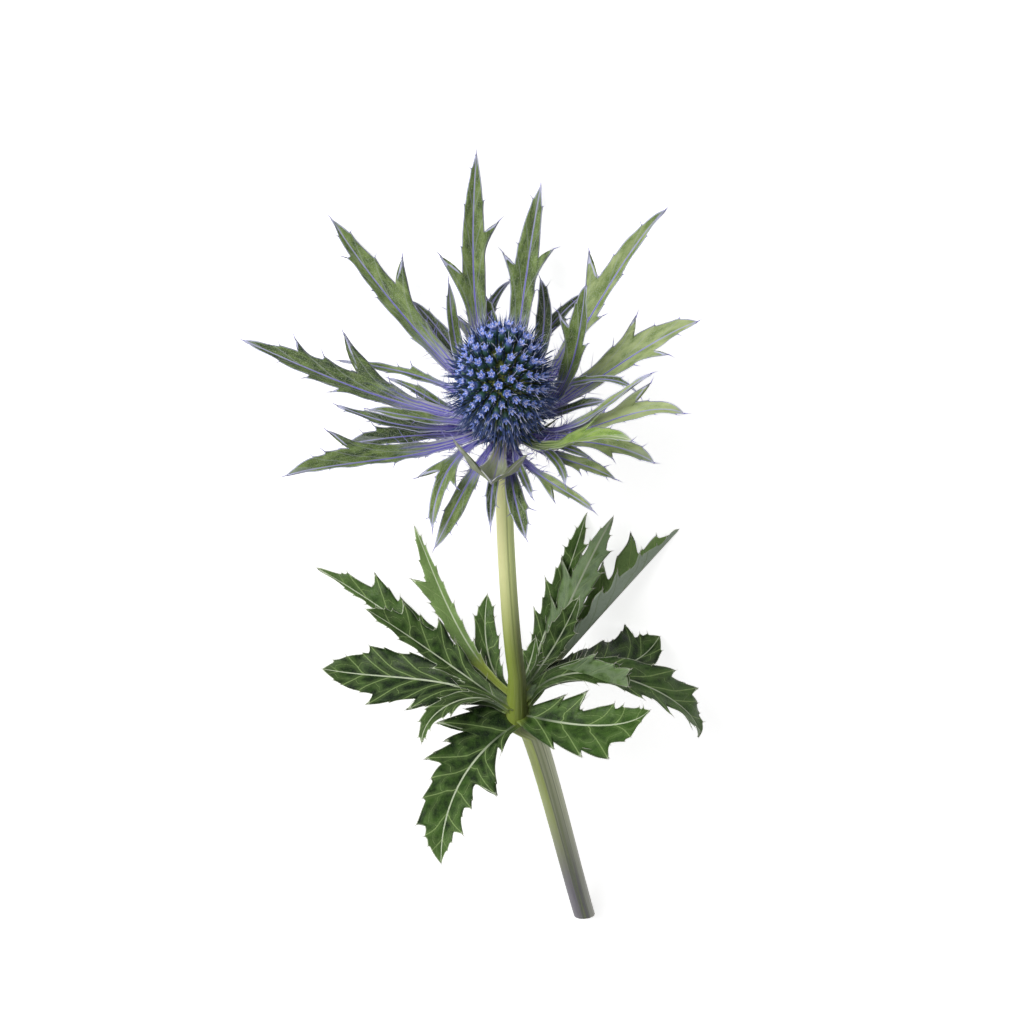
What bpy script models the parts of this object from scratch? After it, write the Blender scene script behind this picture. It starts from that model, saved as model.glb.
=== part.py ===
"""Sea holly: one cut flower lying on its back, with its bracts, stem and whorl of stem leaves.

The cone of florets sits on the swollen top of the stem, inside a ruff of spiny bracts.
Further down the stem a swollen node carries a whorl of lobed, spiny leaves.
The flower rests on the tips of some bracts and leaves and on the cut end of its stem.

Frame: +Z up, the floor at z = 0, the flower end toward -Y, the cut end toward +Y.
Sizes and places are in millimetres and angles in degrees; MM turns them into metres.
"""

import math
from typing import NamedTuple

import bmesh
import bpy
from mathutils import Quaternion, Vector

MM = 0.001
GAP = 0.3  # clearance between two pieces that touch

# Where the three landmarks of the stem lie.
HEAD = Vector((-4.8, -78.6, 36.5))  # middle of the cone's underside
NODE = HEAD + Vector((-2.5, 94.9, -5.0))  # middle of the leaf whorl
CUT_END = NODE + Vector((-18.3, 105.8, -28.7))  # middle of the cut face

HEAD_TILT = 14.0  # how far the cone's axis points up
NODE_TILT = 8.0  # how far the whorl's axis points up

# The cone of florets: an egg shape, cut flat where it sits on the stem.
CONE_RADIUS = 10.8
CONE_HALF_LENGTH = 17.4
CONE_MIDDLE = 12.0  # from its underside to its widest place
CONE_RINGS = 15
CONE_SEGMENTS = 28
FLORET_BUMP = 0.06  # how far the florets stand out, as a share of the radius

# The stem, ribbed along its length.
STEM_TOP_RADIUS = 2.1
STEM_NODE_RADIUS = 2.45
STEM_CUT_RADIUS = 2.85
STEM_RIBS = 8
RIB_DEPTH = 0.1  # share of the radius
COLLAR_RADIUS = 5.0
COLLAR_LENGTH = 9.0
NODE_SWELLING_RADIUS = 3.8
SWELLING_TOP = 13.5  # from the node's middle to where the plain stem starts again
SWELLING_FOOT = 6.5
# The stem kinks just below the node. The handles set the directions and bends of its two curves.
KINK = 0.6
NECK_HANDLE = 12.0
NODE_HANDLE = 10.0
KINK_HANDLE = Vector((-6.0, 14.0, -3.0))
CUT_HANDLE = Vector((-6.5, 33.0, -10.0))
UPPER_RINGS = 9  # cross-sections above the node
LOWER_RINGS = 10  # cross-sections below it
# Height along the stem from the middle of the cone's underside or of the node, and radius there.
COLLAR_PROFILE = ((-GAP, COLLAR_RADIUS), (-6.2, COLLAR_RADIUS), (-8.5, 3.4))
NODE_PROFILE = ((13.0, 2.6), (9.6, 3.1), (6.8, 3.8), (0.0, 3.8), (-4.0, 3.8), (-6.0, 3.4))

# What bracts and leaves have in common.
BRACT_THICKNESS = 0.75
LEAF_THICKNESS = 0.8
THINNING = 0.6  # share of the thickness lost from base to tip
BASE_SHARE = 0.42  # width of a blade at its seat, as a share of its full width
WIDEST = 0.42  # where along a blade it is widest
TAPER = 1.7  # above 1, a blade stays wide for longer before its tip
HANDLE = 0.34  # how stiffly a midrib holds its end directions, as a share of its length
BEND = 0.3  # rise gained at the tip for each degree gained from the base
LOBE_FOOT = 0.26  # half the foot of a lobe, as a share of its reach
SHORTEST_FOOT = 1.4
PLAIN_ROWS = (0.0, 0.12, 0.24, 0.36, 0.5, 0.65, 0.8, 0.92)  # cross-sections of a blade without lobes
LAST_ROW = 0.97
LEAST_STEP = 0.008  # cross-sections closer than this are one

RESTS = None  # a rise worked out so that the blade's tip touches the floor


class Crown(NamedTuple):
    """A place on the stem where blades grow in a ring."""

    centre: Vector
    axis: Vector  # along the stem, toward the flower
    down: Vector  # across the stem, toward the floor
    side: Vector  # across the stem, toward -X
    ring: float  # radius of the ring that lengths are measured from
    seat: float  # radius at which the blades are seated

    def outward(self, azimuth, rise=0.0):
        """Unit direction away from the stem; azimuth 0 is downward, 90 is toward -X."""
        turn, lift = math.radians(azimuth), math.radians(rise)
        across = self.down * math.cos(turn) + self.side * math.sin(turn)
        return across * math.cos(lift) + self.axis * math.sin(lift)

    def rise_to_rest(self, azimuth, length):
        """Rise at which a blade of this length has its tip on the floor."""
        out = self.outward(azimuth)
        level, climb = length * out.z, length * self.axis.z
        drop = -(self.centre.z + self.ring * out.z)
        half_turn = math.acos(drop / math.hypot(level, climb))
        return math.degrees(math.atan2(climb, level) - half_turn)


class Blade(NamedTuple):
    """One bract or leaf. Lobes are (place along the blade, reach) pairs, on either margin."""

    name: str
    azimuth: float
    rise: float  # toward the flower's tip, from base to tip
    length: float
    width: float
    level: float  # where its base sits, along the stem
    cw: tuple = ()  # lobes on the margin of larger azimuth
    ccw: tuple = ()  # lobes on the margin of smaller azimuth
    base_rise: float = 0.0
    curl: float = 0.0  # extra rise at the tip
    seat_turn: float = 0.0  # azimuth of the seat less that of the tip
    sweep: float = 0.0  # azimuth in which the midrib sets out, less that of the tip
    roll: float = 0.0  # turn about the midrib at the base
    twist: float = 0.0  # further turn from base to tip
    fold: float = 14.0  # rise of each half from the midrib
    slant: float = 48.0  # how far the lobes point forward


def lobes(count, reach, first=0.26, last=0.78):
    """Evenly spaced lobes that get shorter toward the tip."""
    step = (last - first) / max(count - 1, 1)
    return tuple((first + i * step, reach * (1.0 - 0.4 * i / count)) for i in range(count))


BRACTS = (
    Blade(
        "bract_01", -8, RESTS, 53, 5.4, -1.0, cw=((0.66, 8.0),), ccw=((0.44, 12.0),),
        seat_turn=-14, sweep=-14,
    ),
    Blade("bract_02", 10, RESTS, 47, 6.4, -1.2, cw=((0.60, 9.0),), ccw=((0.53, 10.0),), sweep=-6),
    Blade(
        "bract_03", -43, RESTS, 54, 6.4, -2.2, cw=((0.58, 9.0),), ccw=((0.57, 5.5), (0.73, 5.0)),
        seat_turn=-2, sweep=-4,
    ),
    Blade("bract_04", 40, RESTS, 53, 5.8, -2.2, ccw=((0.50, 13.0),), sweep=-6, curl=-10),
    Blade(
        "bract_05", 66, 13, 41.5, 7.4, -2.8, cw=((0.71, 5.0),), ccw=((0.40, 5.5), (0.53, 11.0)),
        seat_turn=4,
    ),
    Blade(
        "bract_06", -77, 11, 54.5, 6.6, -3.0, cw=((0.44, 14.0), (0.72, 6.0)), ccw=((0.62, 4.5),),
        base_rise=-8, curl=-14, seat_turn=-4, sweep=-5,
    ),
    Blade(
        "bract_07", -117, 13, 47.5, 7.2, -3.0, cw=((0.56, 11.0), (0.80, 4.5)), ccw=((0.60, 5.0),),
        base_rise=-6, curl=-5, seat_turn=-6,
    ),
    Blade("bract_08", -100, -5, 30, 4.8, -5.6, cw=((0.50, 10.0),)),
    Blade(
        "bract_09", -64, -6, 36.5, 3.2, -4.0, cw=((0.42, 4.5),), base_rise=15, curl=15,
        seat_turn=9, sweep=18,
    ),
    Blade("bract_10", -95, 14, 25, 3.2, -1.6, sweep=-3),
    Blade(
        "bract_11", 92, 6, 34, 5.2, -3.3, ccw=((0.52, 11.0),), base_rise=-5, curl=-17,
        seat_turn=4, sweep=-4,
    ),
    Blade("bract_12", 91, 33, 30, 2.8, -1.4, base_rise=-10, curl=-5, seat_turn=6, sweep=16),
    Blade("bract_13", 86, 12, 16.5, 2.8, -2.4, base_rise=4, sweep=-8),
    Blade(
        "bract_14", 131, 37, 37, 5.0, -1.2, ccw=((0.26, 9.0), (0.46, 10.0)), base_rise=7, curl=-28,
        seat_turn=9, sweep=5,
    ),
    Blade(
        "bract_15", 113, 1, 29.5, 5.4, -4.1, cw=((0.58, 5.0),), ccw=((0.60, 4.0),), base_rise=5,
        seat_turn=-3, sweep=-9,
    ),
    Blade("bract_16", 122, -12, 23, 3.6, -6.0, cw=((0.55, 4.0),), ccw=((0.70, 3.5),), sweep=8),
    Blade(
        "bract_17", 138, -16, 23.5, 3.8, -5.0, cw=((0.42, 4.0),), ccw=((0.46, 5.5),), base_rise=-5,
        seat_turn=13, sweep=29,
    ),
    Blade("bract_18", 171, -20, 23, 4.0, -5.4, ccw=((0.60, 4.0),), sweep=10),
    Blade("bract_19", -173, -12, 21.5, 2.6, -4.2, sweep=9),
    Blade(
        "bract_20", -151, -21, 28, 5.0, -5.4, ccw=((0.64, 4.5),), base_rise=7, seat_turn=4,
        sweep=10,
    ),
    Blade(
        "bract_21", -150, -10, 26, 4.4, -4.4, cw=((0.34, 9.0),), ccw=((0.42, 7.0),), base_rise=14,
        curl=-5, seat_turn=10, sweep=31,
    ),
    Blade(
        "bract_22", -176, 14, 15, 6.4, -2.4, cw=((0.50, 19.0),), ccw=((0.50, 15.0),),
        base_rise=-14, curl=55, slant=60, fold=26,
    ),
    Blade("bract_23", -34, 2, 32, 3.4, -4.2, sweep=8),
    Blade("bract_24", -15, 23, 27.5, 3.4, -1.6, sweep=24),
    Blade("bract_25", -30, 47, 28, 3.0, -1.0, seat_turn=-12, sweep=-25),
    Blade("bract_26", 1, 3, 31.5, 3.6, -3.6, curl=-5, sweep=-36),
    Blade("bract_27", 12, 7, 31, 3.8, -3.6, sweep=26),
    Blade("bract_28", 86, 9, 24, 2.0, -1.7, base_rise=16, curl=-20, seat_turn=3, sweep=-12),
    Blade(
        "bract_29", 49, 58, 32, 5.2, -1.2, cw=((0.52, 6.5),), ccw=((0.56, 8.5),),
        seat_turn=23, sweep=28,
    ),
    Blade("bract_30", 28, 0, 34, 3.8, -4.8, cw=((0.50, 4.0),), seat_turn=-3, sweep=-22),
    Blade("bract_31", -86, 2, 31.5, 3.2, -4.2, ccw=((0.60, 4.0),), base_rise=-4, sweep=-10),
    Blade("bract_32", 143, -8, 15.5, 2.4, -4.2, base_rise=7, seat_turn=-7, sweep=-33),
    Blade("bract_33", 114, -18, 16, 2.0, -5.0, seat_turn=2),
    Blade("bract_34", 165, -4, 16, 2.2, -3.8, sweep=5),
    Blade("bract_35", -66, -4, 22.5, 2.6, -5.6, base_rise=-7, curl=-5, sweep=-5),
)

LEAVES = (
    Blade(
        "leaf_01", -80, 7, 44, 10, 0.2, cw=((0.16, 7), (0.38, 8), (0.62, 12)),
        ccw=((0.22, 7), (0.40, 9), (0.60, 11)), base_rise=9, sweep=12,
    ),
    Blade(
        "leaf_02", -109, -6, 21, 4.4, -2.4, cw=((0.45, 4.4),), ccw=((0.40, 5.5),), base_rise=19,
        curl=-14, seat_turn=18, sweep=50,
    ),
    Blade(
        "leaf_03", -58, 16, 55.5, 8, 2.4, cw=((0.44, 8.5), (0.62, 11), (0.78, 5)),
        ccw=lobes(2, 5.5), roll=-14, sweep=7,
    ),
    Blade(
        "leaf_04", -74, 37, 42.5, 9, 3.0, cw=((0.26, 8), (0.44, 11), (0.68, 10)), ccw=lobes(4, 6.5),
        roll=-14, fold=20, base_rise=9, curl=-4, seat_turn=-20, sweep=17,
    ),
    Blade(
        "leaf_05", -35, RESTS, 47.5, 6.5, 3.6, ccw=((0.30, 5.5), (0.62, 8)), roll=-16,
        seat_turn=-3,
    ),
    Blade(
        "leaf_06", -14, 14, 28, 7, 1.2, cw=lobes(2, 7, 0.35, 0.62), ccw=lobes(2, 6, 0.35, 0.6),
        seat_turn=-4, sweep=-25,
    ),
    Blade(
        "leaf_07", -155, -14, 40, 12.5, -3.6, cw=((0.10, 10), (0.32, 12), (0.66, 8)),
        ccw=((0.16, 7), (0.40, 12), (0.72, 7)), seat_turn=-6, sweep=34, curl=-8, slant=34,
    ),
    Blade(
        "leaf_08", 112, 28, 33, 13, -1.6, cw=((0.18, 9), (0.40, 10), (0.56, 13), (0.76, 7)),
        ccw=((0.20, 8), (0.46, 10), (0.72, 6)), base_rise=14, curl=22, seat_turn=24, slant=38,
    ),
    Blade(
        "leaf_09", 82, -26, 47, 11, 1.5, cw=lobes(4, 8), ccw=lobes(4, 10), base_rise=28, curl=-30,
        seat_turn=2, sweep=2,
    ),
    Blade(
        "leaf_10", 47, 56, 28, 7, 6.2, cw=lobes(2, 7, 0.36, 0.6), ccw=lobes(2, 6, 0.3, 0.6),
        roll=10, sweep=-6,
    ),
    Blade(
        "leaf_11", 24, RESTS, 47, 8, 1.2, cw=lobes(3, 7), ccw=lobes(3, 8), seat_turn=-8, sweep=-4,
    ),
    Blade(
        "leaf_12", 37, 46, 48.5, 9, 4.8, cw=lobes(3, 8, 0.4), ccw=lobes(3, 8, 0.4),
        seat_turn=6, roll=150, twist=40, fold=6,
    ),
    Blade(
        "leaf_13", 48, RESTS, 55, 10, 1.6, cw=lobes(4, 8), ccw=((0.36, 7), (0.50, 14), (0.8, 5)),
        roll=-36, fold=60,
    ),
    Blade(
        "leaf_14", 86, 15, 23.5, 11, 4.4, cw=lobes(3, 11, 0.3), ccw=lobes(2, 6), base_rise=18,
        curl=-6, roll=-50, fold=56, seat_turn=-8, sweep=-30,
    ),
    Blade(
        "leaf_15", 57, -3, 39, 11, -2.6, cw=((0.76, 9),),
        ccw=((0.46, 9), (0.66, 12.5), (0.84, 5)), base_rise=-16, curl=9, seat_turn=-3, sweep=28,
    ),
    Blade("side_shoot", 20, 52, 15, 3.6, 6.0, cw=((0.40, 4.0),), ccw=((0.50, 4.0),)),
)


def tilted_crown(centre, tilt, ring, seat):
    """Crown whose axis points toward -Y and tilt degrees up."""
    angle = math.radians(tilt)
    axis = Vector((0.0, -math.cos(angle), math.sin(angle)))
    down = Vector((0.0, -math.sin(angle), -math.cos(angle)))
    return Crown(centre, axis, down, down.cross(axis), ring, seat)


def bezier(points, t):
    """Point of a cubic Bezier curve."""
    a, b, c, d = points
    u = 1.0 - t
    return a * u**3 + b * (3 * u * u * t) + c * (3 * u * t * t) + d * t**3


def bezier_slope(points, t):
    """Unit direction of a cubic Bezier curve."""
    a, b, c, d = points
    u = 1.0 - t
    return ((b - a) * u * u + (c - b) * (2 * u * t) + (d - c) * t * t).normalized()


def blade_curve(blade, crown):
    """Bezier points of a blade's midrib, from its seat on the stem to its tip."""
    rise = crown.rise_to_rest(blade.azimuth, blade.length) if blade.rise is RESTS else blade.rise
    foot = crown.centre + crown.axis * blade.level
    base = foot + crown.outward(blade.azimuth + blade.seat_turn) * (crown.seat + GAP)
    reach = crown.outward(blade.azimuth, rise) * blade.length
    tip = crown.centre + crown.outward(blade.azimuth) * crown.ring + reach
    tip_rise = rise + BEND * (rise - blade.base_rise) + blade.curl
    handle = HANDLE * blade.length
    first = base + crown.outward(blade.azimuth + blade.sweep, blade.base_rise) * handle
    last = tip - crown.outward(blade.azimuth - blade.sweep, tip_rise) * handle
    return base, first, last, tip


def blade_frame(blade, crown, curve, place):
    """Point, forward, across and upper-face directions at a place along a blade."""
    inside = min(place, 1.0)
    forward = bezier_slope(curve, inside)
    point = bezier(curve, inside) + forward * ((place - inside) * blade.length)
    across = crown.outward(blade.azimuth + 90.0)
    across = (across - forward * across.dot(forward)).normalized()
    across = Quaternion(forward, math.radians(blade.roll + blade.twist * inside)) @ across
    return point, forward, across, across.cross(forward)


def half_width(blade, place):
    """Half the width of a blade without its lobes."""
    if place < WIDEST:
        share = BASE_SHARE + (1.0 - BASE_SHARE) * math.sin(0.5 * math.pi * place / WIDEST)
    else:
        share = 1.0 - ((place - WIDEST) / (1.0 - WIDEST)) ** TAPER
    return 0.5 * blade.width * share


def lobe_span(blade, reach):
    """Half the length of a lobe's foot, as a share of the blade's length."""
    return max(SHORTEST_FOOT, LOBE_FOOT * reach) / blade.length


def margin_reach(blade, place, lobe_list):
    """Distance from the midrib to the margin, measured along the slant of the lobes."""
    plain = half_width(blade, place) / math.cos(math.radians(blade.slant))
    longest = plain
    for middle, reach in lobe_list:
        nearness = 1.0 - abs(place - middle) / lobe_span(blade, reach)
        if nearness > 0.0:
            longest = max(longest, plain + (reach - plain) * nearness)
    return longest


def cross_rows(blade):
    """Places along a blade where its cross-section is modelled."""
    places = set(PLAIN_ROWS)
    for middle, reach in blade.cw + blade.ccw:
        span = lobe_span(blade, reach)
        places |= {middle - span, middle, middle + span}
    rows = []
    for place in sorted(places):
        if 0.0 <= place < LAST_ROW and (not rows or place - rows[-1] > LEAST_STEP):
            rows.append(place)
    return rows


def margin_point(blade, crown, curve, place, side, reach):
    """Point on the margin: outward and forward from the midrib, and raised by the fold."""
    slant, fold = math.radians(blade.slant), math.radians(blade.fold)
    ahead = place + reach * math.sin(slant) / blade.length
    point, _, across, up = blade_frame(blade, crown, curve, ahead)
    spread = reach * math.cos(slant)
    return point + across * (side * spread * math.cos(fold)) + up * (spread * math.sin(fold))


def make_blade(blade, crown, thickness, material):
    """Closed, lens-shaped body of a bract or leaf, built from its base to its pointed tip."""
    curve = blade_curve(blade, crown)
    mesh = bmesh.new()
    rows = []
    for place in cross_rows(blade):
        point, _, _, up = blade_frame(blade, crown, curve, place)
        rise = up * (0.5 * thickness * (1.0 - THINNING * place))
        larger = margin_point(blade, crown, curve, place, 1.0, margin_reach(blade, place, blade.cw))
        smaller = margin_point(blade, crown, curve, place, -1.0, margin_reach(blade, place, blade.ccw))
        rows.append([mesh.verts.new(v * MM) for v in (larger, point + rise, smaller, point - rise)])
    tip = mesh.verts.new(curve[3] * MM)
    mesh.faces.new((rows[0][0], rows[0][1], rows[0][3]))
    mesh.faces.new((rows[0][1], rows[0][2], rows[0][3]))
    for near, far in zip(rows, rows[1:]):
        for middle in (1, 3):
            for edge in (0, 2):
                mesh.faces.new((near[edge], near[middle], far[middle]))
                mesh.faces.new((near[edge], far[middle], far[edge]))
    for i in range(4):
        mesh.faces.new((rows[-1][i], rows[-1][(i + 1) % 4], tip))
    add_object(blade.name, mesh, material)


def add_object(name, mesh, material):
    """Object with this mesh, its faces turned outward."""
    bmesh.ops.recalc_face_normals(mesh, faces=mesh.faces)
    data = bpy.data.meshes.new(name)
    mesh.to_mesh(data)
    mesh.free()
    data.materials.append(material)
    piece = bpy.data.objects.new(name, data)
    bpy.context.collection.objects.link(piece)


def loft(rings, material, name):
    """Closed body through rings of equal point counts, with flat ends."""
    mesh = bmesh.new()
    rows = [[mesh.verts.new(p * MM) for p in ring] for ring in rings]
    for near, far in zip(rows, rows[1:]):
        for i in range(len(near)):
            j = (i + 1) % len(near)
            mesh.faces.new((near[i], near[j], far[j], far[i]))
    mesh.faces.new(rows[0])
    mesh.faces.new(rows[-1])
    add_object(name, mesh, material)


def make_cone(crown, material):
    """Egg-shaped cone of florets, with a bump for each floret, seated on the collar."""
    mesh = bmesh.new()
    foot = math.acos(-CONE_MIDDLE / CONE_HALF_LENGTH)
    rows = []
    for ring in range(CONE_RINGS):
        angle = foot * (1.0 - ring / CONE_RINGS)
        height = CONE_MIDDLE + CONE_HALF_LENGTH * math.cos(angle)
        row = []
        for i in range(CONE_SEGMENTS):
            is_floret = ring > 0 and (i + ring) % 2 == 1
            bump = 1.0 + FLORET_BUMP * is_floret
            out = crown.outward(360.0 * i / CONE_SEGMENTS) * (CONE_RADIUS * math.sin(angle) * bump)
            row.append(mesh.verts.new((crown.centre + crown.axis * height + out) * MM))
        rows.append(row)
    top = crown.centre + crown.axis * (CONE_MIDDLE + CONE_HALF_LENGTH)
    top = mesh.verts.new(top * MM)
    mesh.faces.new(rows[0])
    for near, far in zip(rows, rows[1:]):
        for i in range(CONE_SEGMENTS):
            j = (i + 1) % CONE_SEGMENTS
            mesh.faces.new((near[i], near[j], far[j]))
            mesh.faces.new((near[i], far[j], far[i]))
    for i in range(CONE_SEGMENTS):
        mesh.faces.new((rows[-1][i], rows[-1][(i + 1) % CONE_SEGMENTS], top))
    add_object("flower_cone", mesh, material)


def ribbed_ring(centre, forward, radius, ribs):
    """Ring of points across the stem, with its ribs."""
    side = Vector((1.0, 0.0, 0.0))
    side = (side - forward * side.dot(forward)).normalized()
    up = side.cross(forward)
    ring = []
    for i in range(2 * STEM_RIBS):
        angle = math.pi * (i + 0.5) / STEM_RIBS
        reach = radius * (1.0 - ribs * (i % 2))
        ring.append(centre + (side * math.cos(angle) + up * math.sin(angle)) * reach)
    return ring


def profile_rings(crown, profile):
    """Rings around a crown's axis, without ribs."""
    return [ribbed_ring(crown.centre + crown.axis * h, -crown.axis, r, 0.0) for h, r in profile]


def path_rings(path, steps, first_radius, last_radius):
    """Ribbed rings along a curve, between its ends."""
    rings = []
    for step in range(1, steps + 1):
        t = step / (steps + 1)
        radius = first_radius + (last_radius - first_radius) * t
        rings.append(ribbed_ring(bezier(path, t), bezier_slope(path, t), radius, RIB_DEPTH))
    return rings


def make_stem(head, node, material):
    """Ribbed stem from the collar under the cone, through the leaf node, to the cut end."""
    neck = HEAD - head.axis * COLLAR_LENGTH
    above = NODE + node.axis * SWELLING_TOP
    below = NODE - node.axis * SWELLING_FOOT - Vector((KINK, 0.0, 0.0))
    upper = (neck, neck - head.axis * NECK_HANDLE, above + node.axis * NODE_HANDLE, above)
    lower = (below, below + KINK_HANDLE, CUT_END - CUT_HANDLE, CUT_END)
    cut = Vector((0.0, CUT_HANDLE.y, CUT_HANDLE.z)).normalized()
    rings = profile_rings(head, COLLAR_PROFILE)
    rings += path_rings(upper, UPPER_RINGS, STEM_TOP_RADIUS, STEM_NODE_RADIUS)
    rings += profile_rings(node, NODE_PROFILE)
    rings += path_rings(lower, LOWER_RINGS, STEM_NODE_RADIUS, STEM_CUT_RADIUS)
    cut_ring = ribbed_ring(CUT_END, cut, STEM_CUT_RADIUS, RIB_DEPTH)
    lowest = min(point.z for point in cut_ring)
    rings.append([point - Vector((0.0, 0.0, lowest)) for point in cut_ring])
    loft(rings, material, "stem")


def make_material(name, colour, roughness):
    """Principled material of one plain colour."""
    material = bpy.data.materials.new(name)
    material.use_nodes = True
    shader = material.node_tree.nodes["Principled BSDF"]
    shader.inputs["Base Color"].default_value = (*colour, 1.0)
    shader.inputs["Roughness"].default_value = roughness
    shader.inputs["Metallic"].default_value = 0.0
    return material


def main():
    for piece in list(bpy.data.objects):
        bpy.data.objects.remove(piece)
    head = tilted_crown(HEAD, HEAD_TILT, 6.0, COLLAR_RADIUS)
    node = tilted_crown(NODE, NODE_TILT, 4.0, NODE_SWELLING_RADIUS)
    make_stem(head, node, make_material("stem_green", (0.42, 0.52, 0.20), 0.55))
    make_cone(head, make_material("floret_blue", (0.10, 0.14, 0.42), 0.7))
    bract_green = make_material("bract_green", (0.20, 0.27, 0.17), 0.5)
    for blade in BRACTS:
        make_blade(blade, head, BRACT_THICKNESS, bract_green)
    leaf_green = make_material("leaf_green", (0.06, 0.16, 0.06), 0.45)
    for blade in LEAVES:
        make_blade(blade, node, LEAF_THICKNESS, leaf_green)


main()
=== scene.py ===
"""Sea holly: the look of one cut flower lying down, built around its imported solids.

Each bract and leaf is a thin, veined sheet with hooked lobes, teeth and spines. It stands for a flat
solid, but the midribs of 36 of the 51 don't follow their solids exactly: the largest distance is
12.1 mm, on leaf_02. The cone carries its florets in spirals, and the stem has fine ribs.

Frame: +Z up, the floor at z = 0, the flower end toward -Y, the cut end toward +Y.
Sizes and places are in millimetres and angles in degrees; MM turns them into metres.
"""

import math
from typing import NamedTuple

import bpy
import numpy as np
from mathutils import Matrix, Vector


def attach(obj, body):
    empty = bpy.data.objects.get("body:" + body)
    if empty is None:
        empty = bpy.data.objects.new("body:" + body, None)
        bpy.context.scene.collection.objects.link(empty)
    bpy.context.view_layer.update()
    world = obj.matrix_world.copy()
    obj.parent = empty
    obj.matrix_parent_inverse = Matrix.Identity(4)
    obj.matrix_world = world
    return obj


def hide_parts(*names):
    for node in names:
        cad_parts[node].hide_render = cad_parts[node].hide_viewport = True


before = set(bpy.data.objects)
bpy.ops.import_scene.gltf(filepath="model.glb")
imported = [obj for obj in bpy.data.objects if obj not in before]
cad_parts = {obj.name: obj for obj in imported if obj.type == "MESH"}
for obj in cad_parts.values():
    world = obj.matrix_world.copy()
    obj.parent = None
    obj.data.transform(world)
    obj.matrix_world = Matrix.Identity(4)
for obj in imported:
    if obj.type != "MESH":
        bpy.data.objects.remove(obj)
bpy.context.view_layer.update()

MM = 0.001

# Landmarks of the stem, as in the solids.
HEAD = np.array((-4.8, -78.6, 36.5))  # middle of the cone's underside
NODE = HEAD + (-2.5, 94.9, -5.0)  # middle of the leaf whorl
CUT_END = NODE + (-18.3, 105.8, -28.7)  # middle of the cut face
HEAD_TILT = 14.0
NODE_TILT = 8.0
GAP = 0.3

# How midribs bend and lobes start, as in the solids.
HANDLE = 0.34
BEND = 0.3
SHORTEST_FOOT = 1.4
RESTS = None  # a rise worked out so that the blade's tip touches the floor


class Crown(NamedTuple):
    """A place on the stem where blades grow in a ring."""

    centre: np.ndarray
    axis: np.ndarray  # along the stem, toward the flower
    down: np.ndarray  # across the stem, toward the floor
    side: np.ndarray  # across the stem, toward -X
    ring: float  # radius of the ring that lengths are measured from
    seat: float  # radius at which the blades are seated

    def outward(self, azimuth, rise=0.0):
        """Unit direction away from the stem; azimuth 0 is downward, 90 is toward -X."""
        turn, lift = math.radians(azimuth), math.radians(rise)
        across = self.down * math.cos(turn) + self.side * math.sin(turn)
        return across * math.cos(lift) + self.axis * math.sin(lift)

    def rise_to_rest(self, azimuth, length):
        """Rise at which a blade of this length has its tip on the floor."""
        out = self.outward(azimuth)
        level, climb = length * out[2], length * self.axis[2]
        drop = -(self.centre[2] + self.ring * out[2])
        half_turn = math.acos(drop / math.hypot(level, climb))
        return math.degrees(math.atan2(climb, level) - half_turn)


def tilted_crown(centre, tilt, ring, seat):
    """Crown whose axis points toward -Y and tilt degrees up."""
    angle = math.radians(tilt)
    axis = np.array((0.0, -math.cos(angle), math.sin(angle)))
    down = np.array((0.0, -math.sin(angle), -math.cos(angle)))
    return Crown(centre, axis, down, np.cross(down, axis), ring, seat)


HEAD_CROWN = tilted_crown(HEAD, HEAD_TILT, 6.0, 5.0)
NODE_CROWN = tilted_crown(NODE, NODE_TILT, 4.0, 3.8)


class Blade(NamedTuple):
    """One bract or leaf. Lobes are (place along the blade, reach) pairs, on either margin."""

    name: str
    azimuth: float
    rise: float  # toward the flower's tip, from base to tip
    length: float
    width: float
    level: float  # where its base sits, along the stem
    cw: tuple = ()  # lobes on the margin of larger azimuth
    ccw: tuple = ()  # lobes on the margin of smaller azimuth
    base_rise: float = 0.0
    curl: float = 0.0  # extra rise at the tip
    seat_turn: float = 0.0  # azimuth of the seat less that of the tip
    sweep: float = 0.0  # azimuth in which the midrib sets out, less that of the tip
    roll: float = 0.0  # turn about the midrib at the base
    twist: float = 0.0  # further turn from base to tip
    fold: float = 14.0  # rise of each half from the midrib
    slant: float = 48.0  # how far the lobes point forward
    halves: tuple = (1.0, 1.0)  # shares of the width that show on the cw and ccw sides
    hollow: float = 1.0  # less than 1 where the notches between its lobes are shallow


def lobes(count, reach, first=0.26, last=0.78):
    """Evenly spaced lobes that get shorter toward the tip."""
    step = (last - first) / max(count - 1, 1)
    return tuple((first + i * step, reach * (1.0 - 0.4 * i / count)) for i in range(count))


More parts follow.
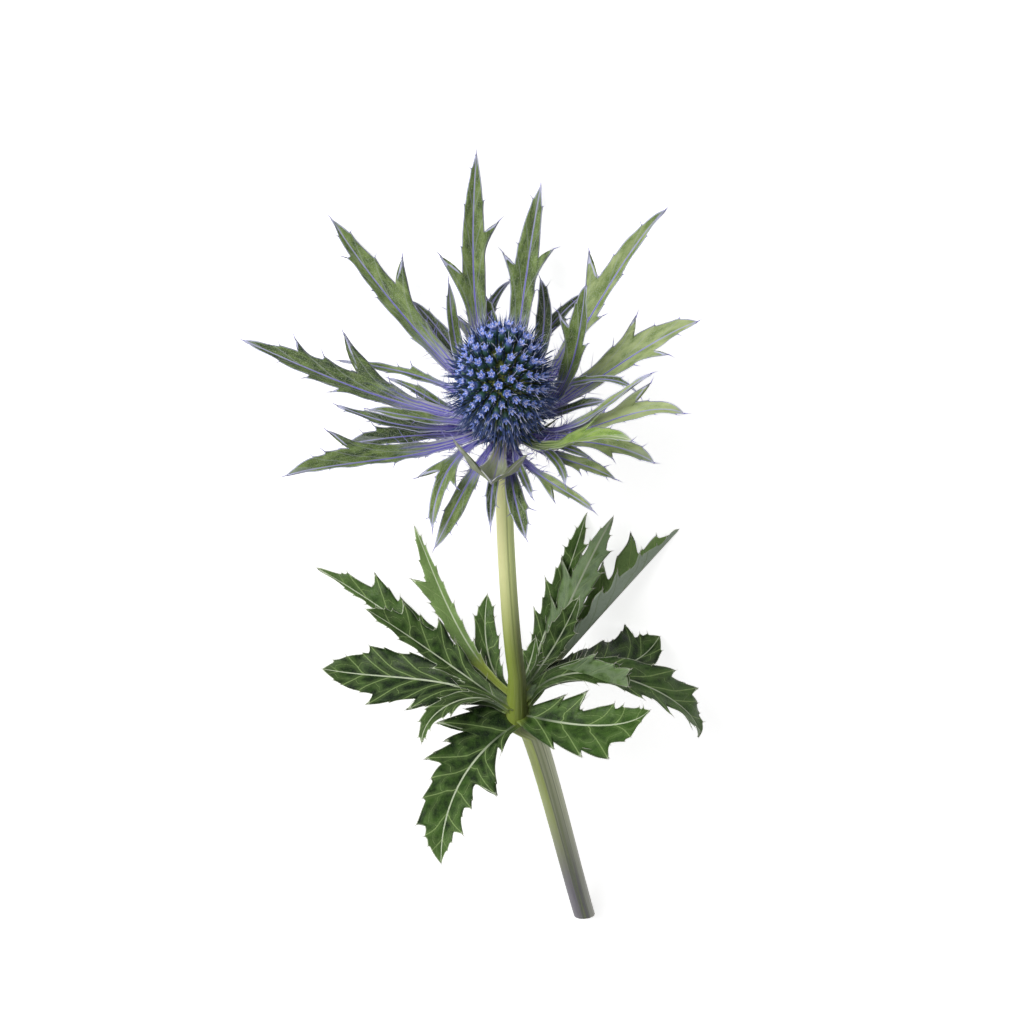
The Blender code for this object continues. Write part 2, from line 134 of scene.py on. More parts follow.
# Most rows were fitted by separate scripts to points read off the photograph, then rounded; some
# were changed by hand afterwards.
BRACTS = (
    Blade("bract_01", -8, RESTS, 53.5, 5.4, -0.9, cw=((0.62, 8.5),), ccw=((0.27, 10), (0.45, 12)),
          base_rise=4, curl=-1, seat_turn=-11, sweep=-14),
    Blade("bract_02", 10, RESTS, 47, 6, -1.2, cw=((0.6, 8.5),), ccw=((0.54, 9),), curl=-1, seat_turn=2,
          sweep=-5, halves=(0.8, 1)),
    Blade("bract_03", -43, RESTS, 54.5, 6.4, -2.1, cw=((0.53, 12.5),), ccw=((0.61, 3), (0.77, 4.5)),
          base_rise=4, curl=19, sweep=1, halves=(1, 0.8)),
    Blade("bract_04", 40, RESTS, 53.5, 5.8, -2.6, cw=((0.45, 4.5),), ccw=((0.52, 12),), base_rise=-8,
          curl=-23, seat_turn=10, sweep=-3, halves=(0.5, 1)),
    Blade("bract_05", 67, 15, 41.5, 7.4, -3.1, cw=((0.53, 4.5), (0.63, 9)), ccw=((0.45, 6.5), (0.54, 11)),
          base_rise=-1, curl=-8, seat_turn=9, sweep=-6, halves=(0.7, 1)),
    Blade("bract_06", -76, 9, 54.5, 6.6, -3, cw=((0.32, 6), (0.42, 16.5), (0.6, 6), (0.71, 7.5)),
          ccw=((0.51, 7), (0.64, 6)), base_rise=-2, curl=3, seat_turn=-4, sweep=-5, halves=(1, 0.8)),
    Blade("bract_07", -117, 13, 48, 7.2, -2.8, cw=((0.54, 12.5), (0.69, 5.5)), ccw=((0.43, 3),),
          base_rise=-9, curl=-5, seat_turn=-3, sweep=2, halves=(1, 0.4)),
    Blade("bract_08", -99, -6, 30, 4.8, -5.4, cw=((0.65, 5),), base_rise=4, curl=7, seat_turn=2, sweep=3),
    Blade("bract_09", -64, -6, 36, 2.8, -3.9, cw=((0.5, 3),), base_rise=15, curl=17, seat_turn=10,
          sweep=18, halves=(0.8, 1)),
    Blade("bract_10", -95, 14, 25, 3.2, -1.6, sweep=-3),
    Blade("bract_11", 99, 15, 34.5, 5, -4.1, ccw=((0.56, 10),), base_rise=-16, curl=-49, seat_turn=12),
    Blade("bract_12", 94, 36, 31.5, 2.4, -1.7, base_rise=-13, curl=-18, seat_turn=9, sweep=19),
    Blade("bract_13", 86, 12, 16.5, 2.8, -2.4, base_rise=4, sweep=-8),
    Blade("bract_14", 132, 38, 38, 5.4, -1.4, cw=((0.3, 4),), ccw=((-0.05, 12), (0.5, 10.5)), base_rise=8,
          curl=-40, seat_turn=13, sweep=14),
    Blade("bract_15", 114, 4, 29.5, 4.8, -4.4, cw=((0.56, 7),), ccw=((0.68, 2.5),), base_rise=1, curl=-11,
          seat_turn=1, sweep=-11),
    Blade("bract_16", 121, -10, 22.5, 3.4, -6.2, cw=((0.52, 5),), ccw=((0.77, 2),), base_rise=-3, curl=-8,
          seat_turn=2, sweep=7),
    Blade("bract_17", 138, -15, 23.5, 2.8, -5.3, cw=((0.46, 7),), ccw=((0.64, 1.5),), base_rise=-7,
          curl=-16, seat_turn=17, sweep=22),
    Blade("bract_18", 171, -20, 23, 4.0, -5.4, ccw=((0.60, 4.0),), sweep=10),
    Blade("bract_19", -173, -12, 21.5, 2.6, -4.2, sweep=9),
    Blade("bract_20", -151, -22, 28, 5, -5.3, ccw=((0.67, 3),), base_rise=8, curl=7, seat_turn=7,
          sweep=-1, halves=(0.7, 1)),
    Blade("bract_21", -149, -13, 25.5, 4.4, -4.1, cw=((0.41, 8),), ccw=((0.46, 6),), base_rise=18,
          curl=-6, seat_turn=18, sweep=32, halves=(0.7, 0.8)),
    Blade("bract_22", -171, 14, 15, 7.5, -2.4, cw=((0.5, 20),), ccw=((0.5, 18),), base_rise=-14, curl=55,
          slant=60, fold=26),
    Blade("bract_23", -34, 2, 32, 3.4, -4.2, sweep=8),
    Blade("bract_24", -15, 23, 27.5, 3.4, -1.6, sweep=24),
    Blade("bract_25", -30, 47, 28, 3.0, -1.0, seat_turn=-12, sweep=-25),
    Blade("bract_26", 2, 5, 30.5, 3, -3.5, base_rise=1, curl=5, seat_turn=-4, sweep=-50),
    Blade("bract_27", 12, 7, 31, 3.8, -3.6, sweep=26),
    Blade("bract_28", 82, 4, 24, 2, -1, base_rise=26, curl=-29, seat_turn=-6, sweep=-55),
    Blade("bract_29", 49, 58, 32, 5.2, -1.2, cw=((0.52, 6.5),), ccw=((0.56, 8.5),), seat_turn=23,
          sweep=28),
    Blade("bract_30", 28, 0, 34, 3.4, -4.7, cw=((0.67, 4),), base_rise=1, curl=11, seat_turn=-7,
          sweep=-27),
    Blade("bract_31", -86, 1, 31.5, 3, -4.1, ccw=((0.63, 2),), base_rise=-2, curl=10, seat_turn=1,
          sweep=-18),
    Blade("bract_32", 143, -8, 15.5, 2.4, -4.2, base_rise=7, seat_turn=-7, sweep=-33),
    Blade("bract_33", 114, -18, 16, 2.0, -5.0, seat_turn=2),
    Blade("bract_34", 165, -4, 16, 2.2, -3.8, sweep=5),
    Blade("bract_35", -66, -4, 22.5, 2.6, -5.6, base_rise=-7, curl=-5, sweep=-5),
)

LEAVES = (
    Blade("leaf_01", -77, 2, 44.5, 11.5, 0.5, cw=((0.32, 5.5), (0.44, 7), (0.58, 10.5), (0.78, 4)),
          ccw=((0.10, 8.5), (0.27, 13.5), (0.51, 13), (0.79, 5)), base_rise=18, curl=16, seat_turn=8,
          sweep=9, roll=-22, hollow=0.8),
    Blade("leaf_02", -125, 17, 24.5, 4.4, 2.2, ccw=((0.46, 5.5),), base_rise=31, curl=-39, seat_turn=25,
          sweep=53),
    Blade("leaf_03", -58, 17, 56, 7.5, 2.4, cw=((0.53, 7.5), (0.65, 9.5), (0.82, 4)),
          ccw=((0.45, 3), (0.70, 2.4)), roll=-14, curl=-3, sweep=9, halves=(1.0, 0.4)),
    Blade("leaf_04", -73, 36, 41.5, 8.5, 3.1, cw=((0.27, 8), (0.39, 11), (0.66, 9)),
          ccw=((0.14, 8), (0.34, 7), (0.51, 4.4), (0.79, 2.2)), roll=-14, fold=20, base_rise=10, curl=1,
          seat_turn=-17, sweep=18, halves=(1.0, 0.62)),
    Blade("leaf_05", -35, RESTS, 47.5, 6.5, 3.6, ccw=((0.34, 4.5), (0.52, 6), (0.62, 9)), roll=-16,
          base_rise=-4, curl=-8, seat_turn=-5, sweep=-7, halves=(0.42, 0.9)),
    Blade("leaf_06", -14, 18, 27, 5.6, 1.1, cw=((0.46, 5), (0.69, 3.5)), ccw=((0.46, 4.5), (0.67, 4.5)),
          base_rise=-7, curl=6, seat_turn=-12, sweep=-25),
    Blade("leaf_07", -155, -15, 39.5, 11.5, -3.4,
          cw=((-0.06, 12.5), (0, 11.5), (0.05, 15.5), (0.17, 10.5), (0.29, 12), (0.42, 8), (0.54, 8),
              (0.68, 8), (0.78, 5)),
          ccw=((0.09, 5.5), (0.33, 13.5), (0.54, 7), (0.73, 6.5)), base_rise=-3, sweep=27, curl=-7,
          slant=34, halves=(1.0, 0.7), hollow=0.7),
    Blade("leaf_08", 110, 26, 32.5, 12, -1, cw=((0.06, 10), (0.23, 12), (0.42, 13.5), (0.69, 6.5)),
          ccw=((-0.13, 11), (0.07, 8.5), (0.20, 10.5), (0.51, 6.5)), base_rise=11, curl=37, seat_turn=7,
          sweep=5, slant=38, roll=22, halves=(1.0, 0.65), hollow=0.65),
    Blade("leaf_09", 77, -31, 49.5, 9.5, 4.6, cw=((0.42, 7), (0.55, 8), (0.72, 6)),
          ccw=((0.44, 8), (0.51, 10), (0.65, 9.5)), base_rise=52, curl=-35, seat_turn=-2, sweep=-15,
          roll=22, halves=(0.7, 1.0)),
    Blade("leaf_10", 45, 55, 29.5, 6, 6.2, cw=((0.57, 5.5),), ccw=((0.48, 4.5),), base_rise=2, roll=10,
          curl=-2, seat_turn=-1, sweep=-12),
    Blade("leaf_11", 25, RESTS, 47, 5.5, 1.2, cw=lobes(3, 6), ccw=((0.34, 7), (0.50, 7), (0.73, 4)),
          curl=13, seat_turn=-10, sweep=-7),
    Blade("leaf_12", 36, 44, 49, 6.5, 4.8, cw=((0.32, 11), (0.49, 12)), ccw=((0.63, 6), (0.76, 5)),
          base_rise=3, curl=-5, seat_turn=6, sweep=-11, roll=150, twist=40, fold=6),
    Blade("leaf_13", 48, RESTS, 55, 9, 1.6, cw=((0.43, 11), (0.55, 10), (0.71, 8)),
          ccw=((0.36, 7), (0.49, 13), (0.68, 13), (0.85, 4.5)), base_rise=7, curl=7, seat_turn=-2,
          sweep=-11, roll=-36, fold=60),
    Blade("leaf_14", 86, 15, 23.5, 11, 4.4, cw=lobes(3, 11, 0.3), ccw=lobes(2, 6), base_rise=18, curl=-6,
          roll=-50, fold=56, seat_turn=-8, sweep=-30),
    Blade("leaf_15", 51, -11, 42.5, 14, 3.5, cw=((0.66, 6),),
          ccw=((0.47, 10.5), (0.7, 13.5), (0.82, 6.5)), base_rise=24, curl=44, seat_turn=-7, sweep=18,
          halves=(0.8, 1.0)),
    Blade("side_shoot", 20, 52, 15, 3.6, 6.0, cw=((0.40, 4.0),), ccw=((0.50, 4.0),)),
)


# ---- small geometry


def unit(vectors):
    """Vectors of length one."""
    return vectors / np.linalg.norm(vectors, axis=-1, keepdims=True)


def swung(first, second, angle):
    """Directions turned by these angles from the first toward the second."""
    return first * np.cos(angle)[..., None] + second * np.sin(angle)[..., None]


def full_turn(count):
    """Evenly spaced angles all the way round."""
    return 2.0 * math.pi * np.arange(count) / count


def bezier(points, t):
    """Points and unit directions of a cubic Bezier curve at the places t."""
    t = np.asarray(t, float)[..., None]
    a, b, c, d = points
    u = 1.0 - t
    point = a * u**3 + b * (3 * u * u * t) + c * (3 * u * t * t) + d * t**3
    return point, unit((b - a) * u * u + (c - b) * (2 * u * t) + (d - c) * t * t)


def distance_to_line(points, line):
    """Distance of each 2-D point to a line through many points."""
    start, along = line[:-1], line[1:] - line[:-1]
    length = np.maximum(np.sum(along * along, axis=1), 1e-9)
    offset = points[:, None] - start
    share = np.clip(np.sum(offset * along, axis=2) / length, 0.0, 1.0)
    gaps = offset - share[..., None] * along
    return np.sqrt(np.sum(gaps * gaps, axis=2).min(axis=1))


def step_length(value, ahead, lateral):
    """Distance across a grid over which a value changes by one."""
    (va, vb), (xa, xb), (ya, yb) = (np.gradient(grid) for grid in (value, ahead, lateral))
    area = xa * yb - xb * ya
    area = np.where(np.abs(area) < 1e-4, 1e-4, area)
    slope = np.hypot(va * yb - vb * ya, vb * xa - va * xb) / np.abs(area)
    return 1.0 / np.clip(slope, 0.08, 4.0)


def smooth(value):
    """Smooth step from 0 to 1."""
    value = np.clip(value, 0.0, 1.0)
    return value * value * (3.0 - 2.0 * value)


# ---- growing a mesh

SKIM = 0.5  # height below which parts bend to lie along the floor


def above_floor(points):
    """Points that would dip into the floor come to lie just above it, the lowest still lowest."""
    raised = points.copy()
    low = points[:, 2] < SKIM
    raised[low, 2] = SKIM * np.exp(points[low, 2] / SKIM - 1.0)
    return raised


class Growth:
    """One mesh put together from parts, with the measures that its materials read.

    flat is (along, across, number) in millimetres, where patterns are laid out.
    lines is (count of side veins passed, distance from one to the next, distance to the margin).
    zone is (share along the part, tint, share toward the margin or along a spine).
    """

    def __init__(self):
        self.points, self.faces, self.slots = [], [], []
        self.measures = {"flat": [], "lines": [], "zone": []}
        self.count = 0

    def add(self, points, faces, slot=0, **measures):
        """Add points and faces; a measure that is left out is zero."""
        points = above_floor(points.reshape(-1, 3))
        self.points.append(points)
        self.faces.extend([corner + self.count for corner in face] for face in faces)
        self.slots.extend([slot] * len(faces) if isinstance(slot, int) else slot)
        for name, parts in self.measures.items():
            given = np.asarray(measures.get(name, (0.0, 0.0, 0.0)), float)
            parts.append(np.broadcast_to(given.reshape(-1, 3), (len(points), 3)))
        self.count += len(points)

    def finish(self, name, node, slot, materials):
        """Make the piece, which rides on the body and stands for its node."""
        mesh = bpy.data.meshes.new(name)
        mesh.from_pydata((np.concatenate(self.points) * MM).tolist(), [], self.faces)
        for measure, parts in self.measures.items():
            layer = mesh.attributes.new(measure, "FLOAT_VECTOR", "POINT")
            layer.data.foreach_set("vector", np.concatenate(parts).astype(np.float32).ravel())
        for material in materials:
            mesh.materials.append(material)
        mesh.polygons.foreach_set("material_index", self.slots)
        mesh.shade_smooth()
        piece = bpy.data.objects.new(name, mesh)
        bpy.context.collection.objects.link(piece)
        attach(piece, "root")
        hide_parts(node)


def tube_faces(rings, sides):
    """Faces of a closed tube: rings of points, then one point at its tip."""
    faces = [list(range(sides))[::-1]]
    for near in range(0, (rings - 1) * sides, sides):
        for i in range(sides):
            j = (i + 1) % sides
            faces.append([near + i, near + j, near + sides + j, near + sides + i])
    last, tip = (rings - 1) * sides, rings * sides
    faces.extend([last + i, last + (i + 1) % sides, tip] for i in range(sides))
    return faces


def add_needles(growth, roots, forward, across, size, profile, bend=0.0, sides=5, slot=0, zone=(0, 0)):
    """Add many tapered tubes at once.

    size is (length, width, thickness), and profile is (share along, share of the width) pairs.
    bend is the drift of the tip toward the upper side, as a share of the length.
    zone is (share along the blade, tint) of each; its third number is the share along a tube.
    """
    count = len(roots)
    shares = np.array([share for share, _ in profile] + [1.0])
    sizes = np.array([share for _, share in profile])
    length, width, thick, bend = (
        np.broadcast_to(np.asarray(v, float), count)[:, None, None] for v in (*size, bend)
    )
    up = np.cross(across, forward)[:, None]
    along = shares[None, :, None]
    centres = roots[:, None] + length * (forward[:, None] * along + up * bend * along**2)
    angle = full_turn(sides)[None, :, None]
    ring = 0.5 * (across[:, None] * width * np.cos(angle) + up * thick * np.sin(angle))
    rings = centres[:, :-1, None] + ring[:, None] * sizes[None, :, None, None]
    points = np.concatenate((rings.reshape(count, -1, 3), centres[:, -1:]), axis=1)
    share = np.append(np.repeat(shares[:-1], sides), 1.0)
    one = tube_faces(len(profile), sides)
    faces = [[corner + tube * len(share) for corner in face] for tube in range(count) for face in one]
    place, tint = (np.repeat(np.broadcast_to(np.asarray(v, float), count), len(share)) for v in zone)
    growth.add(points, faces, slot, zone=np.stack((place, tint, np.tile(share, count)), axis=1))


# ---- bracts and leaves


class Style(NamedTuple):
    """Where the blades of one kind grow, and how they are finished."""

    crown: Crown
    thickness: float
    base_share: float  # width at the base, as a share of the full width
    widest: float  # place of the full width
    taper: float  # above 1, a blade stays wide for longer before its tip
    crease: float  # extra rise of each half close to the midrib
    crease_width: float
    lobe_foot: float  # half the foot of a lobe, as a share of its reach
    lobe_power: float  # above 1, the outer edge of a lobe is hollow
    tooth_step: float  # average distance between the small teeth of the margin
    tooth_reach: float
    tooth_spine: float  # length of the spine on a small tooth
    lobe_spine: float
    bristles: int  # long bristles on each side of the base
    vein_step: float
    vein_run: float  # how far a side vein runs beside the midrib before it turns out
    vein_turn: float  # how far out it turns
    ripple: float  # waviness of the margins
    sheath: float  # how far the base goes on toward the stem


BRACT_STYLE = Style(
    crown=HEAD_CROWN, thickness=0.5, base_share=0.4, widest=0.5, taper=2.2, crease=14.0,
    crease_width=2.2, lobe_foot=0.2, lobe_power=2.5, tooth_step=8.5, tooth_reach=0.55, tooth_spine=1.4,
    lobe_spine=2.2, bristles=11, vein_step=9.0, vein_run=9.0, vein_turn=2.4, ripple=0.25, sheath=0.5,
)
LEAF_STYLE = Style(
    crown=NODE_CROWN, thickness=0.42, base_share=0.42, widest=0.42, taper=2.2, crease=12.0,
    crease_width=4.0, lobe_foot=0.26, lobe_power=1.5, tooth_step=4.6, tooth_reach=0.9, tooth_spine=1.0,
    lobe_spine=1.3, bristles=2, vein_step=6.5, vein_run=2.2, vein_turn=2.2, ripple=0.45, sheath=2.4,
)

# Painted light and shade: blades made lighter or darker than the rest, for how much light each one
# catches.
LIGHT_AND_SHADE_TINTS = {
    "bract_01": 0.1, "bract_02": 0.4, "bract_04": 1.1, "bract_05": 2.4, "bract_06": -0.4,
    "bract_08": -1.2, "bract_11": 2.8, "bract_12": 2.0, "bract_15": 2.2, "bract_16": 2.2,
    "bract_17": 2.0, "bract_20": 1.0, "bract_21": 0.6, "bract_23": -1.4, "bract_26": -1.4,
    "bract_27": -1.4, "bract_30": -1.6, "bract_31": -0.6, "leaf_01": -0.6, "leaf_03": 0.8,
    "leaf_05": 2.3, "leaf_08": 0.8, "leaf_10": -0.6, "leaf_12": 0.4, "leaf_13": 1.6, "leaf_14": 0.8,
    "leaf_15": -1.0,
}

ROW_STEP = 0.32  # distance between cross-sections
HALF_COLUMNS = 8  # columns of points on each side of the midrib
COLUMN_SPREAD = 0.9  # below 1, columns are wider apart near the midrib
THINNING = 0.55  # loss of thickness along a blade
EDGE_THINNING = 0.98
ARCH = 0.11  # how far the side veins and lobes arch outward, as a share of their reach
BACK, FRONT = 2.6, 0.75  # foot of a lobe behind and ahead of its tip
FRONT_POWER = 1.3
TOOTH_BACK, TOOTH_FRONT = 2.4, 0.6
TOOTH_POWER = 1.7
TOOTH_CLEARANCE = 1.8  # least distance from a small tooth to a lobe's tip
NO_CREASE_FOLD = 30.0  # blades folded this much or more have no crease
FIRST_TOOTH, LAST_TOOTH = 0.16, 0.92  # the first is up to 0.1 farther out
LAST_ROW = 0.985
SPINE_PROFILE = ((0.0, 1.0), (0.3, 0.68), (0.65, 0.38), (0.88, 0.18))
SPINE_WIDTH, TOOTH_SPINE_WIDTH, BRISTLE_WIDTH = 0.3, 0.22, 0.17
RIB = 0.34  # height of the midrib under the blade
RIB_WIDTH = 0.55
PATTERN_STEP = 20.0  # keeps the patterns of two blades apart


def blade_curve(blade, crown):
    """Bezier points of a blade's midrib, from its seat on the stem to its tip."""
    rise = crown.rise_to_rest(blade.azimuth, blade.length) if blade.rise is RESTS else blade.rise
    foot = crown.centre + crown.axis * blade.level
    base = foot + crown.outward(blade.azimuth + blade.seat_turn) * (crown.seat + GAP)
    reach = crown.outward(blade.azimuth, rise) * blade.length
    tip = crown.centre + crown.outward(blade.azimuth) * crown.ring + reach
    tip_rise = rise + BEND * (rise - blade.base_rise) + blade.curl
    handle = HANDLE * blade.length
    first = base + crown.outward(blade.azimuth + blade.sweep, blade.base_rise) * handle
    last = tip - crown.outward(blade.azimuth - blade.sweep, tip_rise) * handle
    return base, first, last, tip


def hook(offset, back, front, power):
    """Outline of a lobe: a long hollow rise to its tip, then a short drop."""
    behind = np.clip(1.0 + offset / back, 0.0, 1.0) ** power
    ahead = np.clip(1.0 - offset / front, 0.0, 1.0) ** FRONT_POWER
    return np.where(offset < 0.0, behind, ahead)


def small_teeth(blade, style, lobe_list, rng):
    """Places and sizes of the small teeth on one margin, clear of the lobes' tips."""
    teeth = []
    place = FIRST_TOOTH + 0.1 * rng.random()
    while place < LAST_TOOTH:
        if all(abs(place - middle) > TOOTH_CLEARANCE / blade.length for middle, _ in lobe_list):
            teeth.append((place, style.tooth_reach * rng.uniform(0.6, 1.2) * (1.15 - 0.7 * place)))
        place += style.tooth_step / blade.length * rng.uniform(0.6, 1.4)
    return tuple(teeth)


class Lay(NamedTuple):
    """Where points of a blade's sheet lie, flat and in space, before it gets its thickness."""

    ahead: np.ndarray
    lateral: np.ndarray
    point: np.ndarray
    forward: np.ndarray
    outward: np.ndarray
    normal: np.ndarray


class Sheet:
    """A bract or leaf as it grows. Pairs such as its margins hold the cw side and the ccw side."""

    def __init__(self, blade, style, number):
        self.blade, self.style, self.number = blade, style, number
        self.rng = np.random.default_rng(100 + number)
        self.curve = blade_curve(blade, style.crown)
        self.margins = (blade.cw, blade.ccw)
        self.teeth = tuple(small_teeth(blade, style, margin, self.rng) for margin in self.margins)
        # Its own random tone, plus the painted light and shade from the table of lighter and darker
        # blades.
        self.tint = self.rng.uniform(-0.6, 0.6) + LIGHT_AND_SHADE_TINTS.get(blade.name, 0.0)
        self.phase = self.rng.uniform(0.0, 6.3)

    def frame(self, place):
        """Points, forward, across and upper-face directions at places along the blade."""
        blade = self.blade
        inside = np.clip(place, 0.0, 1.0)
        point, forward = bezier(self.curve, inside)
        point = point + forward * ((place - inside) * blade.length)[..., None]
        across = self.style.crown.outward(blade.azimuth + 90.0)
        across = unit(across - forward * np.sum(forward * across, axis=-1, keepdims=True))
        turn = np.radians(blade.roll + blade.twist * inside)
        across = swung(across, np.cross(forward, across), turn)
        return point, forward, across, np.cross(across, forward)

    def reach(self, place, margin):
        """Distance from the midrib to a margin, 0 for cw and 1 for ccw, along the side veins."""
        blade, style = self.blade, self.style
        base = style.base_share
        fall = np.clip((place - style.widest) / (1.0 - style.widest), 0.0, 1.0)
        share = (base + (1.0 - base) * smooth(place / style.widest)) * (1.0 - fall**style.taper)
        half = 0.5 * blade.width * blade.halves[margin]
        plain = half * share / math.cos(math.radians(blade.slant))
        reach = plain
        for middle, tip in self.margins[margin]:
            foot = max(SHORTEST_FOOT, style.lobe_foot * tip) / blade.length
            rise = hook(place - middle, BACK * foot, FRONT * foot, style.lobe_power * blade.hollow)
            reach = np.maximum(reach, plain + (tip - plain) * rise)
        back, front = TOOTH_BACK / blade.length, TOOTH_FRONT / blade.length
        for middle, size in self.teeth[margin]:
            reach = reach + size * hook(place - middle, back, front, TOOTH_POWER)
        return reach

    def lay_out(self, place, side, share):
        """Lay points at a share of the way from the midrib to the margin, along arched side veins."""
        blade, style = self.blade, self.style
        reach = np.where(side > 0.0, self.reach(place, 0), self.reach(place, 1))
        slant, fold = math.radians(blade.slant), math.radians(blade.fold)
        arch = ARCH * 4.0 * share * (1.0 - share) * reach
        ahead = place * blade.length + share * reach * math.sin(slant) + arch * math.cos(slant)
        lateral = share * reach * math.cos(slant) - arch * math.sin(slant)
        point, forward, across, up = self.frame(ahead / blade.length)
        # Each half rises by the fold, and more steeply in the crease along the midrib.
        crease = math.radians(style.crease) if blade.fold < NO_CREASE_FOLD else 0.0
        near = np.tanh(lateral / style.crease_width)
        angle = fold + crease * (1.0 - near**2)
        wave = np.sin(ahead * 0.75 + self.phase + side) * np.clip(4.0 * place, 0.0, 1.0)
        wave = style.ripple * share**2 * wave
        lift = lateral * math.sin(fold) + crease * style.crease_width * near + wave
        across = across * side[..., None]
        point = point + across * (lateral * math.cos(fold))[..., None] + up * lift[..., None]
        normal = np.where(side[..., None] == 0.0, up, swung(up, -across, angle))
        return Lay(ahead, lateral, point, forward, swung(across, up, angle), normal)

    def vein_marks(self, margin):
        """Places where side veins end on a margin, one at each lobe's tip."""
        nominal = np.arange(0.08, 0.98, self.style.vein_step / self.blade.length)
        marks = nominal.copy()
        for middle, _ in margin:
            marks[np.argmin(np.abs(nominal - middle))] = middle
        return np.sort(marks)

    def veins_passed(self, laid, side):
        """Count of side veins passed: a whole number on each vein, alike on both sides of the midrib."""
        style = self.style
        slope = math.tan(math.radians(self.blade.slant))
        run = style.vein_run * (1.0 - np.tanh(laid.lateral / style.vein_turn))
        place = (laid.ahead - laid.lateral * slope + run) / self.blade.length
        counts = []
        for marks in map(self.vein_marks, ((), *self.margins)):
            ends = np.concatenate(([2 * marks[0] - marks[1]], marks, [2 * marks[-1] - marks[-2]]))
            counts.append(np.interp(place, ends, np.arange(len(ends))))
        on_side = np.where(side > 0.0, counts[1], counts[2])
        return counts[0] + (on_side - counts[0]) * smooth(laid.lateral / style.vein_turn)

    def add_faces(self, growth):
        """Add the sheet's faces, with its midrib raised on the lower face."""
        blade, style = self.blade, self.style
        start = -(0.5 * blade.width * style.base_share + style.sheath) / blade.length
        places = np.arange(start, LAST_ROW, ROW_STEP / blade.length)
        for mark, _ in blade.cw + blade.ccw + self.teeth[0] + self.teeth[1]:
            places[np.argmin(np.abs(places - mark))] = mark
        spread = np.linspace(-1.0, 1.0, 2 * HALF_COLUMNS + 1)
        spread = np.sign(spread) * np.abs(spread) ** COLUMN_SPREAD
        place, spread = np.meshgrid(np.sort(places), spread, indexing="ij")
        side, share = np.sign(spread), np.abs(spread)
        laid = self.lay_out(place, side, share)

        thinner = np.clip(1.0 - THINNING * place, 0.0, 1.0)
        half = 0.5 * style.thickness * thinner * np.sqrt(1.0 - EDGE_THINNING * share**2) * (share < 1.0)
        rib = RIB * np.exp(-((laid.lateral / (0.5 * RIB_WIDTH)) ** 2)) * thinner * (share < 1.0)
        upper = laid.point + laid.normal * half[..., None]
        lower = laid.point - laid.normal * (half + rib)[..., None]
        tip = self.frame(np.array([1.0]))[0]
        points = np.concatenate((upper.reshape(-1, 3), lower[:, 1:-1].reshape(-1, 3), tip))
        faces, slots = sheet_faces(*place.shape)
        growth.add(points, faces, slots, **self.measures(laid, place, side, share))

    def measures(self, laid, place, side, share):
        """Measures for the upper grid, the inner points of the lower grid, and the tip."""
        across = laid.lateral * side
        passed = self.veins_passed(laid, side)
        to_margin = np.empty(place.shape)
        for columns, edge in ((slice(0, HALF_COLUMNS + 1), 0), (slice(HALF_COLUMNS, None), -1)):
            flat = np.stack((laid.ahead[:, columns], laid.lateral[:, columns]), axis=-1)
            gaps = distance_to_line(flat.reshape(-1, 2), flat[:, edge])
            to_margin[:, columns] = gaps.reshape(flat.shape[:2])
        grids = {
            "flat": (laid.ahead, across, np.full(place.shape, PATTERN_STEP * self.number)),
            "lines": (passed, step_length(passed, laid.ahead, across), to_margin),
            "zone": (laid.ahead / self.blade.length, np.full(place.shape, self.tint), share),
        }
        measures = {}
        for name, grid in grids.items():
            grid = np.stack(grid, -1)
            parts = (grid.reshape(-1, 3), grid[:, 1:-1].reshape(-1, 3), grid[-1, HALF_COLUMNS][None])
            measures[name] = np.concatenate(parts)
        return measures

    def add_spines(self, growth):
        """Add the spines: on the tip, lobes and small teeth, and bristles at the base."""
        style, uniform = self.style, self.rng.uniform
        spots = []  # place, side, share of the reach, length, width, how far it points forward
        for side, margin, teeth in zip((1.0, -1.0), self.margins, self.teeth):
            for middle, _ in margin:
                spots.append((middle, side, 0.95, style.lobe_spine * uniform(0.8, 1.2), SPINE_WIDTH, 38))
            for middle, _ in teeth:
                length = style.tooth_spine * uniform(0.6, 1.4)
                spots.append((middle, side, 0.94, length, TOOTH_SPINE_WIDTH, 36))
            for _ in range(style.bristles):
                place, length, ahead = uniform(0.0, 0.34), uniform(2.0, 5.0), uniform(5, 65)
                spots.append((place, side, uniform(0.8, 0.98), length, BRISTLE_WIDTH, ahead))
        spots.append((LAST_ROW, 1.0, 0.0, style.lobe_spine * 0.9, SPINE_WIDTH, 90.0))
        place, side, share, length, width, ahead = (np.array(column, float) for column in zip(*spots))
        laid = self.lay_out(place, side, share)
        angle = np.radians(ahead + uniform(-10.0, 10.0, len(spots)))
        angle[-1] = 0.5 * math.pi
        lift = uniform(-0.2, 0.35, len(spots))[:, None]
        forward = unit(swung(laid.outward, laid.forward, angle) + laid.normal * lift)
        across = unit(np.cross(forward, laid.normal))
        bend = uniform(-0.15, 0.2, len(spots))
        size, zone = (length, width, width), (place, self.tint)
        add_needles(growth, laid.point, forward, across, size, SPINE_PROFILE, bend, slot=2, zone=zone)


